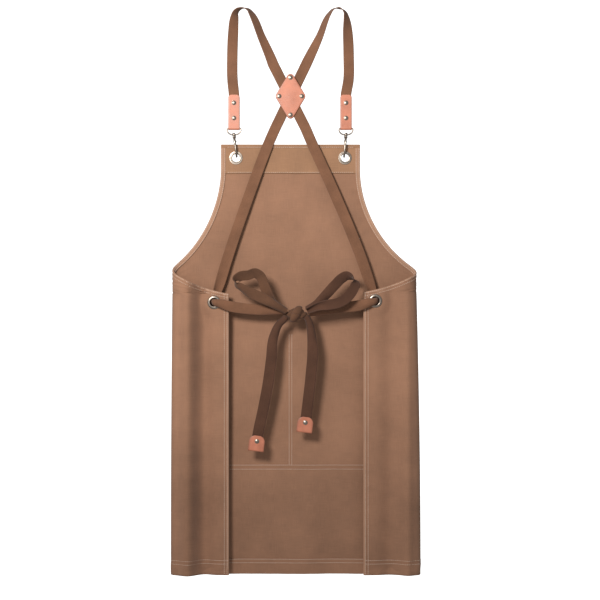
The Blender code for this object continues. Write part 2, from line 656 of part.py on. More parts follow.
def bow():
    """The knot and the two loops of the bow."""
    bm = bmesh.new()
    bmesh.ops.create_uvsphere(bm, u_segments=16, v_segments=10, radius=1,
                              matrix=Matrix.Diagonal((*KNOT_RADII, 1)))
    mesh = bpy.data.meshes.new("bow_knot")
    bm.to_mesh(mesh)
    bm.free()
    place(mesh, "bow_knot", "webbing", KNOT)
    band("left_bow_loop", from_rim([
        (-0.0075, -0.0400, -0.5905, -0.0050, 0.0020, -0.0080),
        (-0.0224, -0.0440, -0.5784, -0.0110, 0.0050, -0.0080),
        (-0.0336, -0.0455, -0.5616, -0.0155, 0.0065, -0.0095),
        (-0.0421, -0.0470, -0.5419, -0.0175, 0.0065, -0.0090),
        (-0.0533, -0.0485, -0.5194, -0.0140, 0.0080, -0.0133),
        (-0.0660, -0.0495, -0.5125, -0.0050, 0.0085, -0.0185),
        (-0.0815, -0.0505, -0.5162, -0.0015, 0.0085, -0.0190),
        (-0.0984, -0.0520, -0.5188, 0.0005, 0.0095, -0.0187),
        (-0.1085, -0.0535, -0.5278, 0.0030, 0.0130, -0.0160),
        (-0.1054, -0.0545, -0.5368, -0.0005, 0.0160, -0.0130),
        (-0.0927, -0.0550, -0.5440, -0.0057, 0.0130, -0.0125),
        (-0.0702, -0.0550, -0.5532, -0.0110, 0.0060, -0.0165),
        (-0.0505, -0.0545, -0.5610, -0.0105, 0.0010, -0.0178),
        (-0.0308, -0.0525, -0.5743, -0.0070, 0.0000, -0.0140),
        (-0.0065, -0.0460, -0.5915, -0.0030, 0.0010, -0.0090)]), WEB, "webbing", steps=2)
    band("right_bow_loop", from_rim([
        (0.0290, -0.0400, -0.5890, 0.0055, 0.0020, -0.0080),
        (0.0452, -0.0440, -0.5784, 0.0100, 0.0050, -0.0095),
        (0.0621, -0.0455, -0.5583, 0.0145, 0.0060, -0.0120),
        (0.0789, -0.0470, -0.5390, 0.0155, 0.0065, -0.0125),
        (0.0930, -0.0485, -0.5254, 0.0150, 0.0070, -0.0128),
        (0.1028, -0.0495, -0.5203, 0.0130, 0.0085, -0.0140),
        (0.1141, -0.0510, -0.5236, 0.0125, 0.0090, -0.0142),
        (0.1205, -0.0530, -0.5325, 0.0135, 0.0085, -0.0137),
        (0.1169, -0.0545, -0.5433, 0.0140, 0.0070, -0.0140),
        (0.1099, -0.0550, -0.5546, 0.0130, 0.0050, -0.0157),
        (0.0995, -0.0552, -0.5650, 0.0105, 0.0035, -0.0177),
        (0.0874, -0.0550, -0.5709, 0.0075, 0.0020, -0.0190),
        (0.0705, -0.0540, -0.5740, 0.0060, 0.0010, -0.0190),
        (0.0536, -0.0520, -0.5790, 0.0050, 0.0005, -0.0150),
        (0.0310, -0.0460, -0.5915, 0.0020, 0.0010, -0.0090)]), WEB, "webbing", steps=2)


def tie_tail(side, route, tip_top, lean):
    """One hanging end of the ties, with its riveted leather tip, on its pivot at the knot."""
    name = SIDES[side]
    axis = pivot(f"{name}_tail_pivot", TAIL_PIVOT[side])
    tip_y = route[-1][1]
    tail = band(f"{name}_tie_tail", route, WEB, "webbing", steps=3, origin=TAIL_PIVOT[side],
                parent=axis)
    top = Vector((tip_top[0], tip_y, tip_top[1])) - Vector(TAIL_PIVOT[side])
    seat = pivot(f"{name}_tip_seat", top, (0, lean, 0), axis)
    radius = WEB / 2 + GAP + LEATHER / 2
    fold = radius + LEATHER / 2 - TIP_LENGTH
    tip = folded_leather(f"{name}_tip", 0, fold, radius, TIP_WIDTH, TIP_CORNER, parent=seat)
    holes = rods(f"{name}_tip_hole", [(0, 0, -TIP_RIVET)], RIVET_HOLE, 0.006, "Y", 10, seat)
    boolean(tip, holes, "DIFFERENCE")
    boolean(tail, holes, "DIFFERENCE")
    rivet(f"{name}_tip_rivet", 0, 0, -TIP_RIVET, 2 * radius + LEATHER, parent=seat)


def tie_tails():
    """Both ends lie in the knot's plane and drift to the left, as a tied bow's ends do."""
    w = WEB_WIDTH
    lean = math.radians(7)
    run = math.tan(lean)
    end = TIP_LENGTH - LEATHER - 0.0015
    tie_tail(-1, [(-0.0125, -0.0370, -0.6125, 0.010, 0), (-0.0207, -0.0370, -0.6196, 0.012, 0),
                  (-0.0325, -0.0370, -0.6452, 0.017, 0), (-0.0378, -0.0365, -0.6925, w, 0),
                  (-0.0443, -0.0360, -0.7397, w, 0), (-0.0532, -0.0355, -0.7870, w, 0),
                  (-0.0640, -0.0350, -0.8390, w, 0),
                  (-0.0640 - run * end, -0.0350, -0.8390 - end, w, 0)], (-0.0640, -0.8390), lean)
    tie_tail(1, [(0.0345, -0.0370, -0.6125, 0.010, 0), (0.0376, -0.0370, -0.6215, 0.012, 0),
                 (0.0414, -0.0370, -0.6452, 0.016, 0), (0.0433, -0.0365, -0.6728, w, 0),
                 (0.0404, -0.0360, -0.7161, w, 0), (0.0345, -0.0355, -0.7700, w, 0),
                 (0.0305, -0.0350, -0.8025, w, 0),
                 (0.0305 - run * end, -0.0350, -0.8025 - end, w, 0)], (0.0305, -0.8025), lean)


# ---- the whole apron ----------------------------------------------------------------------------
canvas_body()
bib_facing()
front_pocket()
bib_face = CANVAS / 2
bib_stack = CANVAS + GAP + FACING
for side, label in SIDES.items():
    eyelet(f"{label}_bib", side * BIB_EYELET[0], bib_face, BIB_EYELET[1], bib_stack, 1)
    waist_x, waist_z = WAIST_EYELETS[side]
    eyelet(f"{label}_waist", waist_x, FLAP_Y - CANVAS / 2, waist_z, CANVAS, -1)
    shoulder_tab(side)
    ring_bar = pivot(f"{label}_ring_bar", (TAB_X[side], 0, RING_BAR_Z))
    swivel_eye(side, ring_bar)
    snap_hook(side, ring_bar)
straps()
cross_patch()
bow()
tie_tails()
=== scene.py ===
"""Cross-back butcher apron: its looks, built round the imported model.

Metres, +Z up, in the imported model's frame. The wearer's side faces -Y and carries the two skirt
flaps, the bow and the hooks; the front, with the pocket, faces +Y. Left and right are the wearer's.
"""

import math

import bmesh
import bpy
import numpy as np
from mathutils import Matrix, Vector, noise


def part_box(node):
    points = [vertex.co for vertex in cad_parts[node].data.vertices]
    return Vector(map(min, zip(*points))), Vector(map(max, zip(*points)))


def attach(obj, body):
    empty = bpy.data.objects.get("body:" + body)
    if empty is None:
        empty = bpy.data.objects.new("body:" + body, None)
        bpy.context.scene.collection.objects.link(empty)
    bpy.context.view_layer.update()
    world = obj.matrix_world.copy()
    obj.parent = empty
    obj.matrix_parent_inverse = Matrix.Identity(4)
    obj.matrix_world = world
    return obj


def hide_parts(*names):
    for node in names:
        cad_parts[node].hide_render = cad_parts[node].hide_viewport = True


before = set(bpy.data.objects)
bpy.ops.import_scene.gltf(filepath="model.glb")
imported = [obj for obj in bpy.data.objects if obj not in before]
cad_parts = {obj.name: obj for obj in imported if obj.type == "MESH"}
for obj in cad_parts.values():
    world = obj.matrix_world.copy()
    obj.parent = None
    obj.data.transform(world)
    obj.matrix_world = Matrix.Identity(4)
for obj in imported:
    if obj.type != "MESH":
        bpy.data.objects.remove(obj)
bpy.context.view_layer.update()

# ---- sizes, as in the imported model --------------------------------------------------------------
SIDES = {-1: "left", 1: "right"}
CANVAS = 0.0012
BIB_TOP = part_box("apron_canvas")[1].z
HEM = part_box("apron_canvas")[0].z
BIB_HALF = 0.1365
BIB_SIDE_END = -0.318
FLAP_TOP = {-1: -0.5625, 1: -0.559}
FLAT_HALF = {-1: 0.3557, 1: 0.3642}
ARMHOLE_PULL = {-1: ((BIB_HALF, -0.380), (0.175, -0.531)),
                1: ((BIB_HALF, -0.405), (0.196, -0.530))}
FOLD_RADIUS = 0.012
FLAP_Y = -2 * FOLD_RADIUS
FLAP_EDGE_X = {-1: 0.121, 1: 0.1435}
FOLD_FLARE = {-1: 0.003, 1: 0.008}

FACING = 0.0009
FACING_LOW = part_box("bib_top_facing")[0].z
FACING_HALF = 0.1345

POCKET_HALF = 0.200
POCKET_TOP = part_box("front_pocket")[1].z
POCKET_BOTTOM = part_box("front_pocket")[0].z
POCKET_CLOTH = 0.0010
POCKET_DEPTH = 0.0061
SEAT = 0.0003               # gap between layers that touch

EYELET_HOLE = 0.0076
EYELET_BARREL = 0.0081
EYELET_FLANGE = 0.0132
WASHER = 0.0008
CUT_RADIUS = 0.0100         # cloth is cut away this far round an eyelet, under its flange
BIB_EYELET = (0.1074, -0.2945)
WAIST_EYELETS = {-1: (-0.1495, -0.579), 1: (0.1665, -0.576)}

WEB = 0.0020
WEB_WIDTH = 0.021
LOOP_RADIUS = 0.017
LOOP_X = 0.0930

LEATHER = 0.0018
TAB_X = {-1: -0.1113, 1: 0.1093}
TAB_WIDTH = 0.023
TAB_TOP = -0.170
TAB_CORNER = 0.006
TAB_RIVETS = (-0.186, -0.216)

RING_WIRE = 0.0014
RING_BAR_Z = -0.2360
RING_DROP = 0.0130
RING_HALF = 0.0134
BOSS_RADIUS = 0.0036
BOSS_HALF = 0.0020
BOSS_HOLE = 0.0022
STEM_RADIUS = 0.0012
HOOK_WIRE = 0.0018
HOOK_LEAN = {-1: math.radians(-7), 1: math.radians(5)}
GATE_PIN = (0.0092, -0.0125)
GATE_END = -0.0338
GATE_HALF = 0.0009
EAR_RADIUS = 0.0026
EAR_HALF = 0.0027
SLOT_HALF = 0.0012
PIN_RADIUS = 0.0007

CROSS_Z = -0.1734
CROSS_Y = -0.0040
CROSS_RIVET_X = 0.0222
CROSS_RIVET_Z = 0.0367
CROSS_MARGIN = 0.0072
CROSS_REACH = 0.0485

RIVET_CAP = 0.0045
RIVET_SHANK = 0.0015

KNOT = Vector((0.012, -0.0395, -0.6015))
TIP_WIDTH = 0.031
TIP_LENGTH = 0.031
TIP_CORNER = 0.012
TIP_RIVET = 0.011

# ---- sewing -------------------------------------------------------------------------------------
HEM_BAND = 0.0086           # width of the hem along the bib's sides, the armholes and the flaps
BOTTOM_BAND = 0.0300
BIB_BAND = 0.0062
HEM_HIGH = 0.0012           # how far a hem stands off the cloth, on the wearer's side
SIDE_HEM_HIGH = 0.0019
TOP_HEM_HIGH = 0.0023
THREAD = 0.00048            # radius of the sewing thread
STITCH = 0.0031             # length of a stitch, and the pitch of the row
STITCH_PITCH = 0.0039
# The canvas colour carries painted shade along the left flap's hollow and painted light along its
# crest.
PAINTED_SHADE_HOLLOW = 0.2925        # flat distance from the middle to the left flap's hollow and crest
PAINTED_LIGHT_CREST = 0.2580

# ---- view and light -----------------------------------------------------------------------------
FLOOR_Z = -1.45
FLOOR_REACH = 1.9
ROOM_LIGHT = 0.40
KEY_PLACE = (-0.62, -1.45, 0.05)
KEY_AIM = (0.05, 0.0, -0.12)
KEY_SIZE = 0.48
KEY_POWER = 15.5
KEY_SPREAD = math.radians(125)
VIEW_X = 0.0187
VIEW_Z = -0.5742
VIEW_WIDTH = 1.182
VIEW_DISTANCE = 4.0


# ---- materials ----------------------------------------------------------------------------------
class Look:
    """A Principled material under construction, with short names for the nodes that it needs."""

    def __init__(self, name, colour, roughness, metallic=0.0, **constants):
        self.material = bpy.data.materials.new(name)
        self.material.use_nodes = True
        self.tree = self.material.node_tree
        self.shader = self.tree.nodes["Principled BSDF"]
        self.colour = self.material.diffuse_color = (*colour, 1)
        constants.update(Base_Color=self.colour, Roughness=roughness, Metallic=metallic)
        for key, value in constants.items():
            self.shader.inputs[key.replace("_", " ")].default_value = value

    def feed(self, socket, value):
        if isinstance(value, bpy.types.NodeSocket):
            self.tree.links.new(value, socket)
        else:
            socket.default_value = value

    def use(self, socket, value):
        self.feed(self.shader.inputs[socket], value)

    def node(self, kind, **inputs):
        made = self.tree.nodes.new(f"ShaderNode{kind}")
        for key, value in inputs.items():
            self.feed(made.inputs[key.replace("_", " ")], value)
        return made

    def math(self, operation, *values):
        made = self.node("Math")
        made.operation = operation
        for socket, value in zip(made.inputs, values):
            self.feed(socket, value)
        return made.outputs[0]

    def add(self, total, *values):
        for value in values:
            total = self.math("ADD", total, value)
        return total

    def wave(self, value, length):
        """A sine wave of a length."""
        return self.math("SINE", self.math("MULTIPLY", value, 2 * math.pi / length))

    def blend(self, kind, share, a, b):
        made = self.node("Mix")
        made.data_type = "RGBA"
        made.blend_type = kind
        for index, value in ((0, share), (6, a), (7, b)):
            self.feed(made.inputs[index], value)
        return made.outputs[2]

    def noise(self, where, scale, detail=3.0, stretch=(1, 1, 1)):
        mapped = self.node("Mapping", Vector=where, Scale=stretch).outputs[0]
        return self.node("TexNoise", Vector=mapped, Scale=scale, Detail=detail).outputs["Fac"]

    def ramp(self, value, low, high, start=0.3, end=0.7):
        """value from start to end, a noise's usual reach, mapped to low to high and held there."""
        return self.node("MapRange", Value=value, From_Min=start, From_Max=end, To_Min=low,
                         To_Max=high).outputs[0]

    def tint(self, amount):
        """The look's own colour times a grey amount."""
        grey = self.node("CombineXYZ", X=amount, Y=amount, Z=amount).outputs[0]
        return self.blend("MULTIPLY", 1.0, self.colour, grey)

    def bump(self, height, distance, strength=1.0):
        """A bump, on top of the bumps that are there already."""
        made = self.node("Bump", Height=height, Distance=distance, Strength=strength)
        normal = self.shader.inputs["Normal"]
        if normal.is_linked:
            self.feed(made.inputs["Normal"], normal.links[0].from_socket)
        self.feed(normal, made.outputs[0])

    def cloth_uv(self):
        """The flat cloth's own coordinates in metres, across and along."""
        uv = self.node("UVMap")
        uv.uv_map = "cloth"
        parts = self.node("SeparateXYZ", Vector=uv.outputs[0])
        return uv.outputs[0], parts.outputs[0], parts.outputs[1]

    def place(self):
        return self.node("TexCoord").outputs["Object"]


def plain_weave(name, colour, pitch=0.00085):
    """Cotton canvas: a plain weave with slubs, and faint wash marks over a hand's width.

    It carries painted light from the waist down and along the raised fold of the left flap, and
    painted shade in that flap's hollow and lower down, towards the hem.
    """
    look = Look(name, colour, 0.88, Sheen_Weight=0.12, Sheen_Roughness=0.5, Specular_IOR_Level=0.25)
    uv, x, y = look.cloth_uv()
    weave = look.math("MULTIPLY", look.wave(x, 2 * pitch), look.wave(y, 2 * pitch))
    slubs = look.add(look.noise(uv, 1.0, 2.0, (1400, 40, 1)), look.noise(uv, 1.0, 2.0, (40, 1400, 1)))
    marks = look.noise(uv, 38.0, 5.0)
    amount = look.add(look.ramp(look.noise(uv, 9.0, 4.0), 0.90, 1.10), look.ramp(marks, -0.05, 0.05),
                      look.ramp(slubs, -0.09, 0.09, 0.7, 1.3), look.ramp(weave, -0.05, 0.05, -1, 1))
    # Painted light from the waist down, then painted shade lower down, towards the hem.
    for change, start, end in ((0.08, -0.56, -0.66), (-0.15, -0.84, -0.96)):
        amount = look.add(amount, look.ramp(y, 0.0, change, start, end))
    # Painted shade along the left flap's hollow, painted light along its crest.
    for change, place in ((-0.15, PAINTED_SHADE_HOLLOW), (0.13, PAINTED_LIGHT_CREST)):
        off = look.math("ABSOLUTE", look.add(x, place))
        amount = look.add(amount, look.ramp(off, change, 0.0, 0.0, 0.019))
    look.use("Base Color", look.tint(amount))
    look.use("Roughness", look.ramp(marks, 0.82, 0.94))
    look.bump(look.add(look.ramp(weave, 0, 0.6, -1, 1), look.ramp(slubs, 0, 0.4, 0.6, 1.4)), 0.00022)
    look.bump(look.noise(uv, 55.0, 3.0), 0.0006, 0.35)
    return look.material


def herringbone(name, colour, pitch=0.0021, rib=0.0052, yarn=0.0008):
    """Cotton webbing woven in a herringbone, with firmer edges."""
    look = Look(name, colour, 0.85, Sheen_Weight=0.10, Sheen_Roughness=0.5, Specular_IOR_Level=0.25)
    uv, along, across = look.cloth_uv()
    twill = look.wave(look.add(along, look.math("PINGPONG", across, rib)), pitch)
    fuzz = look.noise(uv, 420.0, 4.0)
    edge = look.ramp(look.math("ABSOLUTE", across), 0.0, 1.0, 0.0088, 0.0102)
    amount = look.add(look.ramp(look.noise(uv, 26.0, 4.0), 0.82, 1.16), look.ramp(fuzz, -0.08, 0.08),
                      look.ramp(twill, -0.10, 0.10, -1, 1))
    amount = look.math("SUBTRACT", amount, look.math("MULTIPLY", edge, 0.08))
    look.use("Base Color", look.tint(amount))
    look.bump(look.add(look.ramp(twill, 0, 0.7, -1, 1),
                       look.ramp(look.wave(across, yarn), 0, 0.2, -1, 1),
                       look.math("MULTIPLY", fuzz, 0.5)), 0.00028)
    return look.material


def tan_leather(name, colour, burnt=(0.20, 0.062, 0.030, 1)):
    """Smooth vegetable-tanned leather: fine pores, a few creases, burnished at its cut edges."""
    look = Look(name, colour, 0.42, Coat_Weight=0.22, Coat_Roughness=0.30, Specular_IOR_Level=0.5)
    where = look.place()
    pores = look.node("TexVoronoi", Vector=where, Scale=1500.0).outputs["Distance"]
    grain = look.noise(where, 700.0, 4.0)
    cloud = look.noise(where, 55.0, 4.0)
    creases = look.noise(where, 90.0, 6.0, (1.0, 1.0, 2.6))
    line = look.ramp(look.math("ABSOLUTE", look.math("SUBTRACT", creases, 0.5)), 0.0, 1.0, 0.0, 0.02)
    edge = look.node("Attribute")
    edge.attribute_name = "edge"
    amount = look.add(look.ramp(cloud, 0.86, 1.12), look.ramp(grain, -0.05, 0.05))
    amount = look.math("MULTIPLY", amount, look.ramp(line, 0.93, 1.0, 0, 1))
    share = look.ramp(edge.outputs["Fac"], 0.0, 0.75, 0, 1)
    look.use("Base Color", look.blend("MIX", share, look.tint(amount), burnt))
    look.use("Roughness", look.ramp(cloud, 0.36, 0.52))
    look.bump(look.add(look.math("MULTIPLY", pores, 0.7), grain), 0.00012, 0.8)
    look.bump(line, 0.00010, 0.4)
    return look.material


def antique_nickel(name, colour, tarnished=(0.11, 0.080, 0.060, 1)):
    """Nickel plate, darkened in patches, with fine scratches in its gloss."""
    look = Look(name, colour, 0.3, 1.0)
    tarnish = look.noise(look.place(), 160.0, 5.0)
    fine = look.noise(look.place(), 900.0, 3.0, (1.0, 1.0, 6.0))
    dark = look.ramp(tarnish, 0.0, 0.55, 0.52, 0.72)
    look.use("Base Color", look.blend("MIX", dark, look.colour, tarnished))
    look.use("Roughness", look.add(look.ramp(tarnish, 0.27, 0.47, 0.35, 0.7),
                                   look.ramp(fine, -0.05, 0.05)))
    look.bump(fine, 0.00003, 0.5)
    return look.material


def thread(name, colour):
    """Twisted polyester thread."""
    look = Look(name, colour, 0.55, Sheen_Weight=0.2, Sheen_Roughness=0.4)
    look.use("Base Color", look.tint(look.ramp(look.noise(look.place(), 260.0, 3.0), 0.82, 1.15)))
    return look.material


LOOKS = {    # each with its material slot
    "canvas": ("canvas", plain_weave("canvas_weave", (0.272, 0.142, 0.086))),
    "facing_canvas": ("canvas", plain_weave("facing_weave", (0.284, 0.153, 0.086))),
    "pocket_canvas": ("pocket_canvas", plain_weave("pocket_weave", (0.266, 0.139, 0.085))),
    # The side hems' canvas is lighter: a painted highlight where light catches the raised hems.
    "hem_canvas": ("canvas", plain_weave("hem_weave_painted_highlight", (0.355, 0.200, 0.128))),
    "webbing": ("webbing", herringbone("webbing_herringbone", (0.178, 0.082, 0.044))),
    # Darker copies of the strap webbing carrying painted shade: one for the left loop and the knot, a
    # darker one for the right loop and the tails.
    "bow_webbing": ("webbing", herringbone("webbing_painted_shade", (0.110, 0.050, 0.026))),
    "tail_webbing": ("webbing", herringbone("webbing_deep_painted_shade", (0.084, 0.036, 0.020))),
    "tan_leather": ("tan_leather", tan_leather("tan_leather_grain", (0.49, 0.165, 0.092))),
    "nickel": ("antique_nickel", antique_nickel("antique_nickel_plate", (0.33, 0.28, 0.235))),
    "thread": ("canvas", thread("sewing_thread", (0.60, 0.44, 0.35))),
}


# ---- meshes -------------------------------------------------------------------------------------
def make_mesh(name, points, faces, uvs=None):
    """A smooth mesh, with its face corners' cloth coordinates where uvs gives them, face by face."""
    mesh = bpy.data.meshes.new(name)
    mesh.from_pydata([tuple(p) for p in points], [], [tuple(f) for f in faces])
    if uvs is not None:
        layer = mesh.uv_layers.new(name="cloth")
        layer.data.foreach_set("uv", np.array([c for f in uvs for c in f], np.float32).ravel())
    mesh.shade_smooth()
    mesh.set_sharp_from_angle(angle=math.radians(50))
    return mesh


def add_piece(name, mesh, look, body="apron", stands_for=()):
    """One visible piece: its look, the body that it rides on and the nodes that it stands for."""
    obj = bpy.data.objects.new(name, mesh)
    bpy.context.scene.collection.objects.link(obj)
    slot, material = LOOKS[look]
    mesh.materials.append(material)
    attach(obj, body)
    if stands_for:
        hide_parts(*stands_for)
    return obj


def joined(name, meshes, look, body="apron", stands_for=()):
    """Several closed shells as one piece."""
    points, faces, uvs, start = [], [], [], 0
    for mesh in meshes:
        layer = mesh.uv_layers.get("cloth")
        points += [v.co.copy() for v in mesh.vertices]
        for p in mesh.polygons:
            faces.append([start + v for v in p.vertices])
            uvs.append([tuple(layer.data[k].uv) if layer else (0.0, 0.0) for k in p.loop_indices])
        start += len(mesh.vertices)
        bpy.data.meshes.remove(mesh)
    return add_piece(name, make_mesh(name, points, faces, uvs), look, body, stands_for)


def sweep(name, rings, uv_rings=None, cyclic=False):
    """A closed mesh through rings of points, with caps or joined end to end."""
    n, m = rings.shape[:2]
    faces, uvs = [], []
    for i in range(n if cyclic else n - 1):
        k = (i + 1) % n
        for j in range(m):
            l = (j + 1) % m
            faces.append((i * m + j, i * m + l, k * m + l, k * m + j))
            if uv_rings is not None:
                after = uv_rings[i + 1]
                uvs.append((uv_rings[i][j], uv_rings[i][j + 1], after[j + 1], after[j]))
    if not cyclic:
        faces += [tuple(range(m))[::-1], tuple(range((n - 1) * m, n * m))]
        if uv_rings is not None:
            uvs += [uv_rings[0][:m][::-1], uv_rings[n - 1][:m]]
    return make_mesh(name, rings.reshape(-1, 3), faces, uvs if uv_rings is not None else None)


def outward(mesh):
    """Turn a closed mesh's faces outwards."""
    volume = 0.0
    for p in mesh.polygons:
        a, *others = (mesh.vertices[v].co for v in p.vertices)
        for b, c in zip(others, others[1:]):
            volume += a.dot(b.cross(c))
    if volume < 0:
        mesh.flip_normals()
    return mesh


def turned(name, profile, location=(0, 0, 0), rotation=None, steps=48, closed=False):
    """A mesh turned round Z from a profile of radius and height, then turned and moved."""
    m = len(profile)
    points, faces = [], []
    for i in range(steps):
        a = 2 * math.pi * i / steps
        points += [(r * math.cos(a), r * math.sin(a), h) for r, h in profile]
        k = (i + 1) % steps
        for j in range(m if closed else m - 1):
            l = (j + 1) % m
            faces.append((i * m + j, i * m + l, k * m + l, k * m + j))
    mesh = make_mesh(name, points, faces)
    bm = bmesh.new()
    bm.from_mesh(mesh)
    bmesh.ops.remove_doubles(bm, verts=bm.verts, dist=1e-7)
    bm.to_mesh(mesh)
    bm.free()
    outward(mesh)
    mesh.shade_smooth()
    mesh.set_sharp_from_angle(angle=math.radians(40))
    mesh.transform(Matrix.Translation(location) @ (rotation or Matrix.Identity(3)).to_4x4())
    return mesh


def thickened(name, mesh, thickness):
    """The closed mesh of an open surface with its thickness, half to each side."""
    helper = bpy.data.objects.new(name, mesh)
    bpy.context.scene.collection.objects.link(helper)
    shell = helper.modifiers.new("thickness", "SOLIDIFY")
    shell.thickness = thickness
    shell.offset = 0
    graph = bpy.context.evaluated_depsgraph_get()
    made = bpy.data.meshes.new_from_object(helper.evaluated_get(graph))
    bpy.data.objects.remove(helper, do_unlink=True)
    made.name = name
    return outward(made)


def smooth_rows(rows, steps):
    """Rows of numbers, read from a smooth curve through them, with steps samples between two."""
    p = np.array(rows, float)
    chord = np.linalg.norm(np.diff(p[:, :3], axis=0), axis=1)[:, None]
    slope = np.diff(p, axis=0) / chord
    middle = (slope[:-1] * chord[1:] + slope[1:] * chord[:-1]) / (chord[:-1] + chord[1:])
    tangent = np.vstack([slope[:1], middle, slope[-1:]])
    out = []
    for i in range(len(p) - 1):
        for k in range(steps):
            t = k / steps
            out.append(
                (2 * t**3 - 3 * t**2 + 1) * p[i] + (t**3 - 2 * t**2 + t) * chord[i] * tangent[i]
                + (3 * t**2 - 2 * t**3) * p[i + 1] + (t**3 - t**2) * chord[i] * tangent[i + 1])
    out.append(p[-1])
    return np.array(out)


def smoothstep(low, high, value):
    t = min(1.0, max(0.0, (value - low) / (high - low)))
    return t * t * (3 - 2 * t)


def ripple(x, z, width, height, seed):
    """Soft noise from -1 to 1 that changes over width and height."""
    return noise.noise(Vector((x / width, z / height, seed))) * 1.6


# ---- the hanging cloth --------------------------------------------------------------------------
def fold_start(side, z):
    """Distance from the middle where the front panel starts to turn round the side."""
    drop = max(0.0, (FLAP_TOP[side] - z) / (FLAP_TOP[side] - HEM))
    flat = (FLAT_HALF[side] - math.pi * FOLD_RADIUS + FLAP_EDGE_X[side]) / 2
    return flat + FOLD_FLARE[side] * drop * (2 - drop)


def armhole(side, count=160):
    """Half widths and heights down the cut edge of one side, from the bib's top to the flap."""
    rows = [(BIB_HALF, BIB_TOP + (BIB_SIDE_END - BIB_TOP) * k / 20) for k in range(20)]
    corners = [(BIB_HALF, BIB_SIDE_END), *ARMHOLE_PULL[side], (FLAT_HALF[side], FLAP_TOP[side])]
    for k in range(count + 1):
        t = k / count
        weights = ((1 - t)**3, 3 * t * (1 - t)**2, 3 * t**2 * (1 - t), t**3)
        rows.append(tuple(sum(w * c[i] for w, c in zip(weights, corners)) for i in (0, 1)))
    return np.array(rows)


EDGES = {side: armhole(side) for side in SIDES}


def half_width(side, z):
    """Half width of the flat cloth at a height."""
    if z <= FLAP_TOP[side]:
        return 2 * fold_start(side, z) + math.pi * FOLD_RADIUS - FLAP_EDGE_X[side]
    edge = EDGES[side]
    return float(np.interp(-z, -edge[:, 1], edge[:, 0]))


def calm(side, u, z):
    """0 at the eyelets, where the cloth is clamped flat, and 1 away from them."""
    start = fold_start(side, z)
    past = u - start - math.pi * FOLD_RADIUS
    if past < -0.02:
        gap = math.hypot(u - BIB_EYELET[0], z - BIB_EYELET[1])
    else:
        x, height = WAIST_EYELETS[side]
        gap = math.hypot(start - past - abs(x), z - height)
    return smoothstep(0.012, 0.034, gap)


def relief(side, u, z):
    """How far the cloth stands out towards the apron's front side, from its folds and puckers."""
    x = side * u
    start = fold_start(side, z)
    past = u - start - math.pi * FOLD_RADIUS
    drop = smoothstep(FLAP_TOP[side] + 0.10, HEM, z)
    middle = 1 - smoothstep(start - 0.04, start + 0.01, u)
    out = middle * (0.0010 * ripple(x, z, 0.11, 0.15, 1.3) + 0.0004 * ripple(x, z, 0.035, 0.06, 7.7))
    out += middle * drop * 0.0042 * ripple(x, z, 0.075, 0.8, 4.1)
    if past > -0.03:
        flap = smoothstep(-0.024, 0.012, past)
        reach = start - past
        deep = 0.95 + 0.35 * drop
        if side < 0:
            wide = 0.0135 * (1 + 0.25 * drop)
            out += flap * deep * 0.0135 * math.exp(-((reach - 0.201) / wide) ** 2)
            out -= flap * deep * 0.0115 * math.exp(-((reach - 0.169) / (1.15 * wide)) ** 2)
        else:
            out += flap * deep * 0.0080 * math.exp(-((reach - 0.230) / 0.013) ** 2)
            out -= flap * deep * 0.0060 * math.exp(-((reach - 0.194) / 0.019) ** 2)
        out += flap * (0.0010 * ripple(reach, z, 0.05, 0.22, 11 + side)
                       + 0.0022 * drop * ripple(reach, z, 0.06, 0.7, 21 + side))
    out += pucker(side, u, z)
    return out * calm(side, u, z)


def pucker(side, u, z):
    """Small gathers beside the seams."""
    out = 0.0
    x = side * u
    if z > FLAP_TOP[side] + 0.002:
        edge = EDGES[side]
        k = int(np.searchsorted(-edge[:, 1], -z))
        k = min(max(k, 1), len(edge) - 2)
        run = edge[k + 1] - edge[k - 1]
        run = run / np.linalg.norm(run)
        off = (half_width(side, z) - u) * abs(run[1])
        along = u * run[0] + z * run[1]
        out += 0.0007 * ripple(along, 0, 0.013, 1, 31 + side) * math.exp(-((off - 0.012) / 0.010) ** 2)
    elif z <= FLAP_TOP[side]:
        off = half_width(side, z) - u
        out += 0.0004 * ripple(z, 0, 0.016, 1, 41 + side) * math.exp(-((off - 0.010) / 0.010) ** 2)
    below = FACING_LOW - z
    if -0.004 < below < 0.05:
        ends = 0.35 + 0.65 * smoothstep(0.09, 0.125, u)
        out += 0.0010 * ends * ripple(x, 0, 0.016, 1, 51) * math.exp(-((below - 0.006) / 0.014) ** 2)
    above = z - HEM
    if above < 0.06:
        twist = math.sin(2 * math.pi * (x + 0.9 * above) / 0.034 + 2.5 * ripple(x, 0, 0.12, 1, 61))
        out += 0.00045 * twist * (1 - smoothstep(0.022, 0.040, above))
        out += 0.0004 * ripple(x, 0, 0.02, 1, 63) * math.exp(-((above - 0.034) / 0.010) ** 2)
    return out


def cloth_point(side, u, z, out=0.0):
    """A point on the wrapped cloth: u from the middle, out from its mid plane to the front."""
    start = fold_start(side, z)
    angle = (u - start) / FOLD_RADIUS
    out = out + relief(side, u, z)
    if angle <= 0:
        return (side * u, out, z)
    if angle < math.pi:
        radius = FOLD_RADIUS + out
        return (side * (start + radius * math.sin(angle)), radius * math.cos(angle) - FOLD_RADIUS, z)
    return (side * (2 * start - u + math.pi * FOLD_RADIUS), FLAP_Y - out, z)

